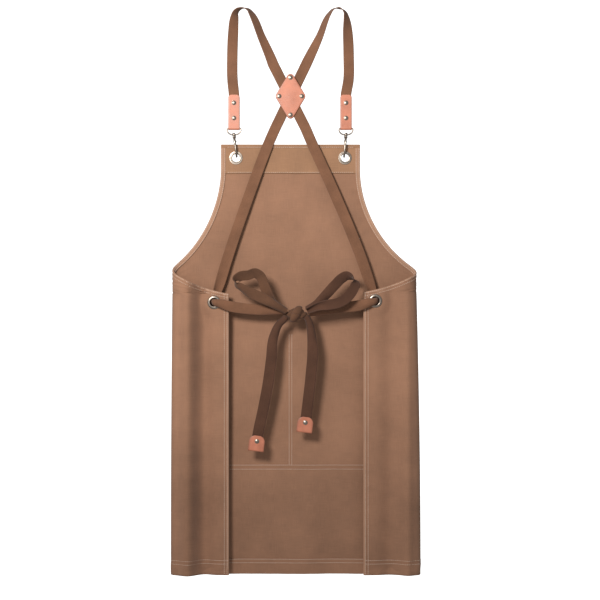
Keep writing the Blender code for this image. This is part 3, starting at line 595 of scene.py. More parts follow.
def cloth_layer(name, grid, thickness, lift, holes=()):
    """A layer of cloth through a grid of side, u and z; lift gives its height over the canvas.

    Faces nearer to a hole than the cut radius are left out; holes are points in x, y and z.
    """
    rows, columns = len(grid), len(grid[0])
    points = [cloth_point(s, u, z, lift(s, u, z)) for row in grid for s, u, z in row]
    flat = [(s * u, z) for row in grid for s, u, z in row]
    faces, uvs = [], []
    for i in range(rows - 1):
        for j in range(columns - 1):
            face = (i * columns + j, (i + 1) * columns + j, (i + 1) * columns + j + 1,
                    i * columns + j + 1)
            centre = [sum(points[k][axis] for k in face) / 4 for axis in range(3)]
            if any(math.dist(centre, hole) < CUT_RADIUS for hole in holes):
                continue
            faces.append(face)
            uvs.append([flat[k] for k in face])
    return thickened(name, make_mesh(name, points, faces, uvs), thickness)


def eyelet_places():
    """Centres of the four eyelets."""
    bib = [(side * BIB_EYELET[0], 0, BIB_EYELET[1]) for side in SIDES]
    return bib + [(WAIST_EYELETS[side][0], FLAP_Y, WAIST_EYELETS[side][1]) for side in SIDES]


def canvas_body(rows=268, columns=116):
    """The one piece of canvas: bib, front panel and the two flaps."""
    grid = []
    for i in range(rows + 1):
        z = BIB_TOP + (HEM - BIB_TOP) * i / rows
        left = [(-1, half_width(-1, z) * k / columns, z) for k in range(columns, 0, -1)]
        right = [(1, half_width(1, z) * k / columns, z) for k in range(columns + 1)]
        grid.append(left + right)
    mesh = cloth_layer("canvas_body", grid, CANVAS, lambda s, u, z: 0.0, eyelet_places())
    return add_piece("canvas_body", mesh, "canvas", stands_for=["apron_canvas"])


# ---- hems, facing and stitching -----------------------------------------------------------------
def hem_strip(side, path, inward, width, high=HEM_HIGH):
    """A folded hem along a path of u and z on the cloth, on the wearer's side of it.

    inward is the direction from the edge into the cloth, for each point or for all of them. The
    fold wraps the cut edge.
    """
    top = -CANVAS / 2 - high
    section = [(-0.0003, 0.0), (-0.0006, -0.0006), (-0.0003, top + 0.0003), (0.0008, top),
               (width * 0.35, top - 0.0001), (width * 0.7, top + 0.0001), (width - 0.0008, top),
               (width - 0.0001, top + 0.0004), (width, 0.0), (width * 0.6, 0.0003),
               (width * 0.2, CANVAS / 2 + 0.0002), (0.0004, CANVAS / 2 + 0.0002)]
    rings, uv_rings, along = [], [], 0.0
    for k, ((u, z), (dx, dz)) in enumerate(zip(path, np.broadcast_to(inward, (len(path), 2)))):
        if k:
            along += math.dist(path[k], path[k - 1])
        rings.append([cloth_point(side, u + dx * d, z + dz * d, h) for d, h in section])
        uv_rings.append([(along, d + 0.4 * h) for d, h in section] + [(along, section[0][0])])
    return outward(sweep("hem", np.array(rings), uv_rings))


def edge_normals(path):
    """Directions across a path, on the side of the smaller u."""
    p = np.array(path)
    run = np.gradient(p, axis=0)
    run /= np.linalg.norm(run, axis=1)[:, None]
    across = np.stack([run[:, 1], -run[:, 0]], axis=1)
    return across if across[0][0] < 0 else -across


def inset(path, distance):
    """A path moved into the cloth by a distance."""
    p, n = np.array(path), edge_normals(path)
    return [tuple(q) for q in p + n * distance]


def spaced(start, end, step=0.004):
    """Evenly spaced points between two points of u and z."""
    count = max(2, int(math.dist(start, end) / step))
    return [tuple(np.array(start) + (np.array(end) - np.array(start)) * k / count)
            for k in range(count + 1)]


def stitch_row(side, path, height, facing=1):
    """A row of stitches along a path of u and z, on the front of the cloth or, with -1, the back.

    height is how far they lie from its mid plane, or a function of side, u and z.
    """
    p, away = [], []
    for u, z in path:
        high = height(side, u, z) if callable(height) else height
        here, over = (Vector(cloth_point(side, u, z, facing * h)) for h in (high, high + 0.001))
        p.append(here)
        away.append((over - here).normalized())
    p, away = np.array(p), np.array(away)
    reach = np.concatenate([[0], np.cumsum(np.linalg.norm(np.diff(p, axis=0), axis=1))])
    points, faces = [], []
    for k in range(int((reach[-1] - STITCH) / STITCH_PITCH) + 1):
        marks = [k * STITCH_PITCH + STITCH * t for t in (0, 0.14, 0.5, 0.86, 1)]
        centre = np.array([[np.interp(m, reach, p[:, a]) for a in range(3)] for m in marks])
        up = np.array([np.interp(marks[2], reach, away[:, a]) for a in range(3)])
        up /= np.linalg.norm(up)
        along = centre[-1] - centre[0]
        along /= np.linalg.norm(along)
        across = np.cross(along, up)
        first = len(points)
        for c, thick, lift in zip(centre, (0.35, 0.9, 1.0, 0.9, 0.35), (-0.7, 0.35, 0.75, 0.35, -0.7)):
            for j in range(5):
                a = 2 * math.pi * j / 5
                points.append(c + up * THREAD * (lift + thick * math.sin(a))
                              + across * THREAD * thick * math.cos(a))
        for i in range(first, first + 20, 5):
            faces += [(i + j, i + 5 + j, i + 5 + (j + 1) % 5, i + (j + 1) % 5) for j in range(5)]
        faces += [range(first, first + 5), range(first + 24, first + 19, -1)]
    return make_mesh("stitches", points, faces)


def sewn(side, path, back, front=CANVAS / 2):
    """Both faces of a row of stitches through the cloth, back and front of its mid plane."""
    return [stitch_row(side, path, back, -1), stitch_row(side, path, front)]


def edge_sewing(side):
    """Hems and stitches down the bib's side, round the armhole and down the flap's free edge."""
    label = SIDES[side]
    cut = [tuple(q) for q in EDGES[side][::3]]
    if cut[-1] != tuple(EDGES[side][-1]):
        cut.append(tuple(EDGES[side][-1]))
    free = [(half_width(side, z), z) for z in np.linspace(FLAP_TOP[side], HEM, 140)]
    hems = [hem_strip(side, cut, edge_normals(cut), HEM_BAND, SIDE_HEM_HIGH),
            hem_strip(side, free, (-1, 0), HEM_BAND + 0.0006)]
    joined(f"{label}_side_hem", hems, "hem_canvas")
    rows = sewn(side, inset(cut, HEM_BAND - 0.0013)[1:], CANVAS / 2 + SIDE_HEM_HIGH)
    rows += sewn(side, inset(cut, 0.0017)[1:], CANVAS / 2 + SIDE_HEM_HIGH)
    rows += sewn(side, [(u - 0.0032, z) for u, z in free], CANVAS / 2 + HEM_HIGH, CANVAS / 2 + 0.0002)
    rows += sewn(side, [(u - 0.0086, z) for u, z in free], CANVAS / 2 + 0.0011)
    joined(f"{label}_side_stitching", rows, "thread")


def bottom_hem():
    """The deep hem along the bottom, with its two rows of stitches."""
    strips, rows = [], []
    for side in SIDES:
        path = [(u, HEM) for u in np.linspace(0, half_width(side, HEM), 130)]
        strips.append(hem_strip(side, path, (0, 1), BOTTOM_BAND))
        for height in (0.0215, BOTTOM_BAND - 0.0015):
            rows += sewn(side, [(u, HEM + height) for u, _ in path], CANVAS / 2 + HEM_HIGH)
    joined("bottom_hem", strips, "canvas")
    joined("bottom_stitching", rows, "thread")


def panel(half, count, height, columns=150):
    """A grid of side, u and z over the middle of the cloth; height(x, share) is z, top to bottom."""
    grid = []
    for i in range(count + 1):
        places = [half * (2 * k / columns - 1) for k in range(columns + 1)]
        grid.append([(-1 if x < 0 else 1, abs(x), height(x, i / count)) for x in places])
    return grid


def bib_top():
    """The facing along the bib's top, the rolled top edge and their stitches."""
    top = BIB_TOP - 0.0008

    def height(x, share):
        low = FACING_LOW + 0.0009 * (0.5 + 0.5 * ripple(x, 0, 0.05, 1, 71)) + 0.0006
        return top + (low - top) * share

    def lift(side, u, z):
        fold = 1 - smoothstep(FACING_LOW + 0.0055, FACING_LOW + 0.0075, z)
        return -CANVAS / 2 - SEAT - FACING / 2 - 0.00045 * fold

    holes = [(side * BIB_EYELET[0], -CANVAS, BIB_EYELET[1]) for side in SIDES]
    cloth = cloth_layer("bib_facing", panel(FACING_HALF, 30, height), FACING, lift, holes)
    facing = add_piece("bib_facing", cloth, "facing_canvas", stands_for=["bib_top_facing"])
    strips, rows = [], []
    for side in SIDES:
        path = [(u, BIB_TOP) for u in np.linspace(0, BIB_HALF - 0.0002, 60)]
        strips.append(hem_strip(side, path, (0, -1), BIB_BAND, TOP_HEM_HIGH))
        line = [(u, FACING_LOW + 0.0032) for u in np.linspace(0, FACING_HALF - 0.007, 60)]
        rows += sewn(side, line, CANVAS / 2 + SEAT + FACING + 0.0005)
        line = [(u, BIB_TOP - BIB_BAND + 0.0012) for u, _ in path[:-4]]
        rows += sewn(side, line, CANVAS / 2 + TOP_HEM_HIGH)
    joined("bib_top_hem", strips, "facing_canvas")
    joined("bib_stitching", rows, "thread")
    return facing


# ---- pocket -------------------------------------------------------------------------------------
def pocket_rise(x, z):
    """How far the pocket stands off the canvas: sewn at the sides, bottom and middle."""
    u = abs(x)
    to_side = min(smoothstep(0.002, 0.020, u), smoothstep(0.002, 0.020, POCKET_HALF - u))
    rise = to_side * smoothstep(0.002, 0.022, z - POCKET_BOTTOM)
    sag = 1 + 0.10 * ripple(x, z, 0.07, 0.10, 81)
    return (POCKET_DEPTH - 0.0002) * rise * sag * 0.97


def front_pocket():
    """The wide front pocket with its hemmed mouth, its stitches and bar tacks."""
    def lift(side, u, z, over=0.0):
        fold = smoothstep(POCKET_TOP - 0.0235, POCKET_TOP - 0.0215, z)
        base = CANVAS / 2 + SEAT + POCKET_CLOTH / 2
        return base + pocket_rise(side * u, z) + 0.0004 * fold + over

    def face(side, u, z):
        return lift(side, u, z, POCKET_CLOTH / 2)

    grid = panel(POCKET_HALF, 96, lambda x, share: POCKET_TOP + (POCKET_BOTTOM - POCKET_TOP) * share)
    pocket = add_piece("pocket_cloth", cloth_layer("pocket_cloth", grid, POCKET_CLOTH, lift),
                       "pocket_canvas", stands_for=["front_pocket"])
    rows = []
    for side in SIDES:
        seams = [spaced((0.0, POCKET_BOTTOM + d), (POCKET_HALF - 0.002, POCKET_BOTTOM + d))
                 for d in (0.0018, 0.0098)]
        seams += [spaced((u, POCKET_TOP - 0.003), (u, POCKET_BOTTOM + 0.002))
                  for u in (POCKET_HALF - 0.0018, POCKET_HALF - 0.0080)]
        seams.append(spaced((0.0026, POCKET_TOP - 0.002), (0.0026, POCKET_BOTTOM + 0.010)))
        for seam in seams:    # these go through, and show on the wearer's side of the canvas too
            rows += [stitch_row(side, seam, face), stitch_row(side, seam, CANVAS / 2, -1)]
        edges = [(0.0, POCKET_HALF - 0.002, d) for d in (0.0030, 0.0215)]
        edges += [(u, u + 0.009, 0.0016 + 0.0006 * k) for u in (0.0005, POCKET_HALF - 0.010)
                  for k in range(9)]
        for start, end, d in edges:
            rows.append(stitch_row(side, spaced((start, POCKET_TOP - d), (end, POCKET_TOP - d)), face))
    joined("pocket_stitching", rows, "thread")
    return pocket


# ---- metal fittings -----------------------------------------------------------------------------
def rounded(profile, radius, steps=3):
    """A profile with its corners cut round."""
    out = [profile[0]]
    for before, here, after in zip(profile, profile[1:], profile[2:]):
        a, b, c = Vector(before), Vector(here), Vector(after)
        reach = min(radius, (a - b).length * 0.45, (c - b).length * 0.45)
        start = b + (a - b).normalized() * reach
        end = b + (c - b).normalized() * reach
        for k in range(steps + 1):
            t = k / steps
            out.append(tuple(start * (1 - t)**2 + b * 2 * t * (1 - t) + end * t**2))
    out.append(profile[-1])
    return out


def eyelet(name, x, y, z, stack, facing):
    """An eyelet with a domed flange and a rolled lip over its washer."""
    lip = stack + 2 * SEAT + WASHER + SEAT
    dome = [(EYELET_HOLE, 0.0004), (0.0080, 0.0013), (0.0090, 0.0018), (0.0102, 0.0018),
            (0.0118, 0.0013), (0.0129, 0.0006), (EYELET_FLANGE, 0.0002), (0.0130, 0.0),
            (EYELET_BARREL, 0.0), (EYELET_BARREL, -lip + 0.0002), (0.0096, -lip),
            (0.0104, -lip - 0.0003), (0.0103, -lip - 0.0008), (0.0092, -lip - 0.0012),
            (0.0081, -lip - 0.0010), (EYELET_HOLE, -lip - 0.0001)]
    top = -(stack + 2 * SEAT)
    inner = EYELET_BARREL + 0.0003
    ring = [(inner, top), (EYELET_FLANGE - 0.0004, top), (EYELET_FLANGE, top - 0.0003),
            (EYELET_FLANGE - 0.0003, top - WASHER + 0.0001), (0.0112, top - WASHER - 0.0001),
            (inner, top - WASHER + 0.0001)]
    dome = rounded(dome + dome[:2], 0.0003)[1:-1]
    turn = Matrix.Rotation(math.radians(-90 * facing), 3, "X")
    for piece, node, profile in (("grommet", "eyelet", dome), ("ring", "washer", ring)):
        mesh = turned(node, profile, (x, y + facing * SEAT, z), turn, 64, closed=True)
        add_piece(f"{name}_{piece}", mesh, "nickel", stands_for=[f"{name}_{node}"])


def rivet(name, x, y, z, stack, node, body="apron", lean=0.0):
    """A double-cap rivet along Y: domed caps with a struck rim on a short shank."""
    half = stack / 2 + 0.0003
    cap = [(0, half + 0.0017), (0.0012, half + 0.0016), (0.0024, half + 0.0013),
           (0.0034, half + 0.0009), (0.0038, half + 0.00065), (0.0041, half + 0.00062),
           (RIVET_CAP, half + 0.0003), (RIVET_CAP, half), (RIVET_SHANK, half)]
    foot = [(RIVET_SHANK, -half), (RIVET_CAP, -half), (RIVET_CAP, -half - 0.0002),
            (0.0040, -half - 0.0005), (0.0030, -half - 0.0009), (0.0016, -half - 0.0011),
            (0, -half - 0.0011)]
    turn = Matrix.Rotation(lean, 3, "Y") @ Matrix.Rotation(math.radians(90), 3, "X")
    mesh = turned("rivet", rounded(cap + foot, 0.0002, 2), (x, y, z), turn, 40)
    add_piece(name, mesh, "nickel", body, [node])


def wire(name, path, radii, cyclic=False, sides=16):
    """A round wire along a path, with a radius at each point and rounded ends."""
    p = np.array(path, float)
    n = len(p)
    tangent = (np.roll(p, -1, 0) - np.roll(p, 1, 0)) if cyclic else np.gradient(p, axis=0)
    tangent /= np.linalg.norm(tangent, axis=1)[:, None]
    normal = np.array([1.0, 0.0, 0.0])
    if abs(tangent[0] @ normal) > 0.9:
        normal = np.array([0.0, 1.0, 0.0])
    rings = []
    for k in range(n):
        normal = normal - tangent[k] * (normal @ tangent[k])
        normal /= np.linalg.norm(normal)
        side = np.cross(tangent[k], normal)
        rings.append([p[k] + radii[k] * (normal * math.cos(a) + side * math.sin(a))
                      for a in np.linspace(0, 2 * math.pi, sides, endpoint=False)])
    return outward(sweep(name, np.array(rings), cyclic=cyclic))


def with_ends(path, radius):
    """A wire's path and radii with both ends rounded off."""
    p = [np.array(q, float) for q in path]
    radii = [radius] * len(p)
    head = (p[0] - p[1]) / np.linalg.norm(p[0] - p[1])
    tail = (p[-1] - p[-2]) / np.linalg.norm(p[-1] - p[-2])
    steps = ((0.55, 0.83), (0.85, 0.53), (1.0, 0.12))
    start = [(p[0] + head * radius * d, radius * r) for d, r in steps[::-1]]
    end = [(p[-1] + tail * radius * d, radius * r) for d, r in steps]
    return ([q for q, _ in start] + p + [q for q, _ in end],
            [r for _, r in start] + radii + [r for _, r in end])


def tilted(side):
    """From the swivel stem's own axes to the frame's."""
    lean = Matrix.Rotation(HOOK_LEAN[side], 4, "Y")
    return Matrix.Translation((TAB_X[side], 0, RING_BAR_Z - RING_DROP)) @ lean


def swivel_eye(side):
    """The D-shaped eye, and the boss that the hook's stem turns in."""
    label = SIDES[side]
    half = [(0.0100, 0), (0.0119, -0.0001), (0.0130, -0.0005), (RING_HALF, -0.0015), (0.0132, -0.0050),
            (0.0110, -0.0092), (0.0062, -0.0120), (0.0024, -RING_DROP)]
    outline = half + [(-x, z) for x, z in half[::-1]]
    rows = smooth_rows([(x, 0, z) for x, z in outline], 5)
    closing = [(x, 0.0, 0.0) for x in np.linspace(-0.0100, 0.0100, 12)[1:-1]]
    path = list(rows) + closing
    ring = wire("ring", path, [RING_WIRE] * len(path), cyclic=True)
    barrel = [(BOSS_HOLE, BOSS_HALF - 0.0002), (BOSS_RADIUS - 0.0006, BOSS_HALF + 0.0001),
              (BOSS_RADIUS, BOSS_HALF - 0.0005), (BOSS_RADIUS, -BOSS_HALF + 0.0005),
              (BOSS_RADIUS - 0.0006, -BOSS_HALF - 0.0001), (BOSS_HOLE, -BOSS_HALF + 0.0002)]
    boss = turned("boss", barrel, (0, 0, -RING_DROP), closed=True, steps=40)
    obj = joined(f"{label}_ring", [ring, boss], "nickel", f"{label}_eye", [f"{label}_swivel_eye"])
    obj.data.transform(Matrix.Translation((TAB_X[side], 0, RING_BAR_Z)))


def snap_hook(side):
    """The hook with its swivel stem and gate ears, the gate pin and the gate."""
    label = SIDES[side]
    path = [(0.0088, -0.0105), (0.0062, -0.0070), (0, -0.0055), (-0.0062, -0.0070),
            (-0.0092, -0.0115), (-0.0100, -0.0220), (-0.0096, -0.0340), (-0.0064, -0.0405),
            (0, -0.0435), (0.0062, -0.0412), (0.0090, -0.0370)]
    bend = smooth_rows([(0, y, z) for y, z in path], 8)
    spine, radii = with_ends(bend, HOOK_WIRE)
    for k, point in enumerate(spine):
        spine_only = 1 - smoothstep(0.002, 0.006, point[1])
        radii[k] *= 1 + 0.28 * smoothstep(-0.034, -0.016, point[2]) * spine_only
    body = wire("bend", spine, radii, sides=20)
    stem = [(0, 0.0043), (0.0020, 0.0042), (0.0028, 0.0038), (0.0029, 0.0028),
            (STEM_RADIUS, 0.0026), (STEM_RADIUS, -0.0025), (0.0034, -0.0026), (0.0036, -0.0040),
            (0.0032, -0.0064), (0.0020, -0.0080), (0, -0.0084)]
    post = turned("stem", rounded(stem, 0.0003, 2), steps=40)
    ears = []
    turn = Matrix.Rotation(math.radians(90), 3, "Y")
    for sign in (-1, 1):
        plate = [(0, sign * SLOT_HALF), (EAR_RADIUS, sign * SLOT_HALF),
                 (EAR_RADIUS, sign * (EAR_HALF - 0.0004)), (EAR_RADIUS - 0.0004, sign * EAR_HALF),
                 (0, sign * EAR_HALF)]
        ears.append(turned("ear", plate, (0, *GATE_PIN), turn, 36))
    hook = joined(f"{label}_hook_body", [body, post, *ears], "nickel", f"{label}_snap_hook",
                  [f"{label}_hook"])
    hook.data.transform(tilted(side))

    tip = EAR_HALF + 0.0004
    pin = turned("pin", [(0, tip + 0.0002), (0.0006, tip), (PIN_RADIUS + 0.0003, EAR_HALF),
                         (PIN_RADIUS, EAR_HALF - 0.0003), (PIN_RADIUS, -EAR_HALF + 0.0003),
                         (PIN_RADIUS + 0.0003, -EAR_HALF), (0.0006, -tip), (0, -tip - 0.0002)],
                 (0, *GATE_PIN), turn, 24)
    pin.transform(tilted(side))
    add_piece(f"{label}_pin", pin, "nickel", f"{label}_snap_hook", [f"{label}_gate_pin"])

    reach = GATE_END - GATE_PIN[1]
    lever = []
    for t in np.linspace(0, 1, 25):
        y = GATE_PIN[0] + 0.0004 * math.sin(math.pi * t)
        lever.append((0.0, y, GATE_PIN[1] + 0.0004 + (reach - 0.0004) * t))
    gate = wire("gate", *with_ends(lever, 0.0013), sides=16)
    for vertex in gate.vertices:
        broad = 1 - smoothstep(-0.0195, -0.0165, vertex.co.z)
        vertex.co.x *= (GATE_HALF + (0.0018 - GATE_HALF) * broad) / 0.0013
    gate.transform(tilted(side))
    outward(gate)
    add_piece(f"{label}_gate_lever", gate, "nickel", f"{label}_hook_gate", [f"{label}_gate"])


# ---- webbing ------------------------------------------------------------------------------------
def across_rows(rows):
    """Turn rows of x, y, z, width and lie into x, y, z, width and a direction across the band.

    A lie is the band's roll in degrees, 0 where it faces the viewer and 90 where its width
    runs along Y, or the direction itself.
    """
    p = np.array([row[:3] for row in rows], float)
    tangent = np.gradient(p, axis=0)
    out = []
    for row, t in zip(rows, tangent):
        lie = row[4]
        if isinstance(lie, tuple):
            side = Vector(lie)
        else:
            flat = Vector((t[2], 0, -t[0])).normalized()
            side = flat * math.cos(math.radians(lie)) + Vector((0, math.sin(math.radians(lie)), 0))
        out.append((*row[:4], *side.normalized()))
    return out


def from_rim(rows):
    """Rows of a bow's loop, from points on its near rim and the way from there to its far rim."""
    out = []
    for row in rows:
        across = Vector(row[3:])
        out.append((*(Vector(row[:3]) + across / 2), across.length, tuple(-across)))
    return out


def curl_angle(share):
    """Half angle of the arc whose chord is this share of its length."""
    low, high = 0.001, math.pi
    for _ in range(40):
        middle = (low + high) / 2
        if math.sin(middle) / middle > share:
            low = middle
        else:
            high = middle
    return low


def band_section(across=14):
    """The webbing's section: places along its width and heights, with rounded edges."""
    half, t = WEB_WIDTH / 2, WEB / 2
    top = [(a, t) for a in np.linspace(-half + t, half - t, across)]
    edge = [(half - t + t * math.sin(b), t * math.cos(b)) for b in np.radians((40, 90, 140))]
    return top + edge + [(a, -t) for a, _ in top[::-1]] + [(-a, -h) for a, h in edge]


def band_mesh(name, rows, steps=10, curl=1):
    """A band along rows of x, y, z, width and lie. Where it is drawn narrower than it is, it
    curls across its width instead, towards one side or the other as curl is 1 or -1."""
    samples = smooth_rows(across_rows(rows), steps)
    tangent = np.gradient(samples[:, :3], axis=0)
    section = band_section()
    rings, uv_rings, along = [], [], 0.0
    for k, (row, t) in enumerate(zip(samples, tangent)):
        if k:
            along += float(np.linalg.norm(row[:3] - samples[k - 1][:3]))
        angle = curl_angle(min(0.9995, row[3] / WEB_WIDTH))
        radius = WEB_WIDTH / (2 * angle)
        depth = radius * (1 - math.cos(angle))
        run = Vector(t).normalized()
        side = Vector(row[4:7])
        side = (side - run * side.dot(run)).normalized()
        normal = run.cross(side)
        centre = Vector(row[:3]) - normal * curl * depth * 0.5
        ring = []
        for a, h in section:
            turn = a / radius
            reach = radius - curl * h
            ring.append(tuple(centre + side * reach * math.sin(turn)
                              + normal * curl * (radius - reach * math.cos(turn))))
        rings.append(ring)
        uv_rings.append([(along, a) for a, _ in section] + [(along, section[0][0])])
    return outward(sweep(name, np.array(rings), uv_rings))


def loop_over_peg(side, leave, rolls):
    """Rows of webbing over one peg, from the outer leg to where it leaves for the cross."""
    rows = []
    for k in range(7):
        turn = math.radians(180 - (180 - leave) * k / 6)
        share = abs(k - 3) / 3
        roll = 90 + (rolls[0 if k < 3 else 1] - 90) * share
        rows.append((side * (LOOP_X - LOOP_RADIUS * math.cos(turn)), 0,
                     WEB / 2 - LOOP_RADIUS * (1 - math.sin(turn)), WEB_WIDTH, roll))
    return rows


def strap(side, leave, rolls, below_peg, lower, curl=-1):
    """One strap: from its leather tab over the peg, across the back and out to the knot."""
    tab = TAB_X[side]
    outer = side * (LOOP_X + LOOP_RADIUS)
    rows = [(tab, 0, RING_BAR_Z + RING_WIRE + 0.0012, WEB_WIDTH, 0),
            (tab, 0, TAB_TOP, WEB_WIDTH, 0),
            (outer + side * 0.0042, 0, -0.141, WEB_WIDTH, 0),
            (outer + side * 0.0046, 0, -0.095, WEB_WIDTH, 0),
            (outer + side * 0.0030, 0, -0.050, WEB_WIDTH, rolls[0] / 3)]
    rows += loop_over_peg(side, leave, rolls) + below_peg + lower
    mesh = band_mesh("strap", rows, curl=curl)
    add_piece(f"{SIDES[side]}_strap_webbing", mesh, "webbing", stands_for=[f"{SIDES[side]}_strap"])


def through_patch(y, upper_x, lower_x, lie):
    """Rows of a straight, flat stretch through the leather patch and a little past it."""
    rows = []
    for share in (-0.14, 0, 0.5, 1, 1.14):
        z = CROSS_Z + CROSS_REACH * (1 - 2 * share)
        rows.append((upper_x + (lower_x - upper_x) * share, y, z, WEB_WIDTH, lie))
    return rows


def straps():
    """The strap from the left shoulder ends at the right of the waist, and the other way round."""
    front = CROSS_Y - WEB / 2 - SEAT / 2
    back = CROSS_Y + WEB / 2 + SEAT / 2
    w = WEB_WIDTH
    strap(-1, 23, (45, 120), [(-0.0570, -0.0012, -0.0560, w, 140), (-0.0380, -0.0032, -0.1000, w, 168)],
          through_patch(front, -0.0268, 0.0222, 180)
          + [(0.0370, -0.0062, -0.2540, w, 180),
           (0.0900, -0.0102, -0.3720, w, 180), (0.1405, -0.0118, -0.4955, w, 180),
           (0.1582, -0.0125, -0.5480, 0.018, 180), (0.1640, -0.0140, -0.5650, 0.013, 180),
           (0.1662, -0.0185, -0.5740, 0.011, (0.85, 0, 0.50)),
           (0.1665, -0.0250, -0.5765, 0.011, (0.62, 0, 0.79)),
           (0.1645, -0.0305, -0.5775, 0.012, (0.20, 0, 0.98)),
           (0.1570, -0.0330, -0.5785, 0.015, 0), (0.1380, -0.0335, -0.5840, 0.020, 0),
           (0.0900, -0.0335, -0.5900, 0.020, 0), (0.0520, -0.0335, -0.5970, 0.015, 0),
           (0.0330, -0.0335, -0.6000, 0.011, 0)], curl=1)
    strap(1, 26, (60, 70), [(0.0570, -0.0006, -0.0560, w, 45), (0.0357, -0.0015, -0.1000, w, 10)],
          through_patch(back, 0.0238, -0.0230, 0)
          + [(-0.0395, -0.0048, -0.2580, w, 0),
           (-0.0825, -0.0098, -0.3720, w, 0), (-0.1247, -0.0118, -0.4955, w, 0),
           (-0.1415, -0.0125, -0.5510, 0.018, 0), (-0.1470, -0.0140, -0.5680, 0.013, 0),
           (-0.1492, -0.0185, -0.5770, 0.011, (-0.85, 0, 0.50)),
           (-0.1495, -0.0250, -0.5795, 0.011, (-0.62, 0, 0.79)),
           (-0.1475, -0.0305, -0.5800, 0.012, (-0.20, 0, 0.98)),
           (-0.1400, -0.0330, -0.5805, 0.015, 180), (-0.1200, -0.0335, -0.5860, 0.020, 180),
           (-0.0600, -0.0335, -0.5935, 0.020, 180), (-0.0250, -0.0335, -0.5955, 0.014, 180),
           (-0.0080, -0.0335, -0.5965, 0.011, 180)])


def bow():
    """The two loops of the bow and the knot that holds them."""
    loops = {"left": [
        (-0.0075, -0.0400, -0.5905, -0.0050, 0.0020, -0.0080),
        (-0.0224, -0.0440, -0.5784, -0.0110, 0.0050, -0.0080),
        (-0.0336, -0.0455, -0.5616, -0.0155, 0.0065, -0.0095),
        (-0.0421, -0.0470, -0.5419, -0.0175, 0.0065, -0.0090),
        (-0.0533, -0.0485, -0.5194, -0.0140, 0.0080, -0.0133),
        (-0.0660, -0.0495, -0.5125, -0.0050, 0.0085, -0.0185),
        (-0.0815, -0.0505, -0.5162, -0.0015, 0.0085, -0.0190),
        (-0.0984, -0.0520, -0.5188, 0.0005, 0.0095, -0.0187),
        (-0.1085, -0.0535, -0.5278, 0.0030, 0.0130, -0.0160),
        (-0.1054, -0.0545, -0.5368, -0.0005, 0.0160, -0.0130),
        (-0.0927, -0.0550, -0.5440, -0.0057, 0.0130, -0.0125),
        (-0.0702, -0.0550, -0.5532, -0.0110, 0.0060, -0.0165),
        (-0.0505, -0.0545, -0.5610, -0.0105, 0.0010, -0.0178),
        (-0.0308, -0.0525, -0.5743, -0.0070, 0.0000, -0.0140),
        (-0.0065, -0.0460, -0.5915, -0.0030, 0.0010, -0.0090)], "right": [
        (0.0290, -0.0400, -0.5890, 0.0055, 0.0020, -0.0080),
        (0.0452, -0.0440, -0.5784, 0.0100, 0.0050, -0.0095),
        (0.0621, -0.0455, -0.5583, 0.0145, 0.0060, -0.0120),
        (0.0789, -0.0470, -0.5390, 0.0155, 0.0065, -0.0125),
        (0.0930, -0.0485, -0.5254, 0.0150, 0.0070, -0.0128),
        (0.1028, -0.0495, -0.5203, 0.0130, 0.0085, -0.0140),
        (0.1141, -0.0510, -0.5236, 0.0125, 0.0090, -0.0142),
        (0.1205, -0.0530, -0.5325, 0.0135, 0.0085, -0.0137),
        (0.1169, -0.0545, -0.5433, 0.0140, 0.0070, -0.0140),
        (0.1099, -0.0550, -0.5546, 0.0130, 0.0050, -0.0157),
        (0.0995, -0.0552, -0.5650, 0.0105, 0.0035, -0.0177),
        (0.0874, -0.0550, -0.5709, 0.0075, 0.0020, -0.0190),
        (0.0705, -0.0540, -0.5740, 0.0060, 0.0010, -0.0190),
        (0.0536, -0.0520, -0.5790, 0.0050, 0.0005, -0.0150),
        (0.0310, -0.0460, -0.5915, 0.0020, 0.0010, -0.0090)]}
    # The left loop takes the webbing with painted shade, the right loop the one with deeper painted
    # shade.
    for (label, rows), look in zip(loops.items(), ("bow_webbing", "tail_webbing")):
        mesh = band_mesh("loop", from_rim(rows), curl=-1)
        add_piece(f"{label}_loop_webbing", mesh, look, stands_for=[f"{label}_bow_loop"])
    knot()


def knot():
    """The knot: webbing drawn together in folds, with one turn round it."""
    across, down = 72, 44
    radii = (0.0205, 0.0088, 0.0118)
    rings, uv_rings = [], []
    for i in range(1, down):
        polar = math.pi * i / down
        ring, uv = [], []
        for k in range(across):
            turn = 2 * math.pi * k / across
            x, y = math.sin(polar) * math.sin(turn), -math.sin(polar) * math.cos(turn)
            z = math.cos(polar)
            fold = 0.0
            for place, lean, deep in ((-0.52, 0.5, 0.13), (0.60, -0.35, 0.15), (0.05, 1.6, 0.07)):
                off = x + lean * z - place
                fold += deep * math.exp(-(off / 0.10) ** 2)
            pinch = 1 - 0.22 * abs(x) ** 1.5
            size = 1 - fold + 0.04 * noise.noise(Vector((x * 2, y * 2, z * 2)))
            ring.append((KNOT.x + radii[0] * x * size, KNOT.y + radii[1] * y * size,
                         KNOT.z + radii[2] * z * size * pinch))
            uv.append((radii[0] * x * 1.4, radii[2] * z * 1.4))
        rings.append(ring)
        uv_rings.append(uv + uv[:1])
    meshes = [outward(sweep("core", np.array(rings), uv_rings))]
    wrap = []
    for k in range(25):
        a = 2 * math.pi * k / 24
        wrap.append((KNOT.x - 0.0010 + 0.0035 * math.sin(a), KNOT.y - 0.0094 * math.cos(a),
                     KNOT.z + 0.0122 * math.sin(a), 0.0165, (0.94, 0.0, 0.34)))
    meshes.append(band_mesh("wrap", wrap, steps=4, curl=1))
    # The knot takes the webbing with painted shade.
    joined("knot_webbing", meshes, "bow_webbing", stands_for=["bow_knot"])


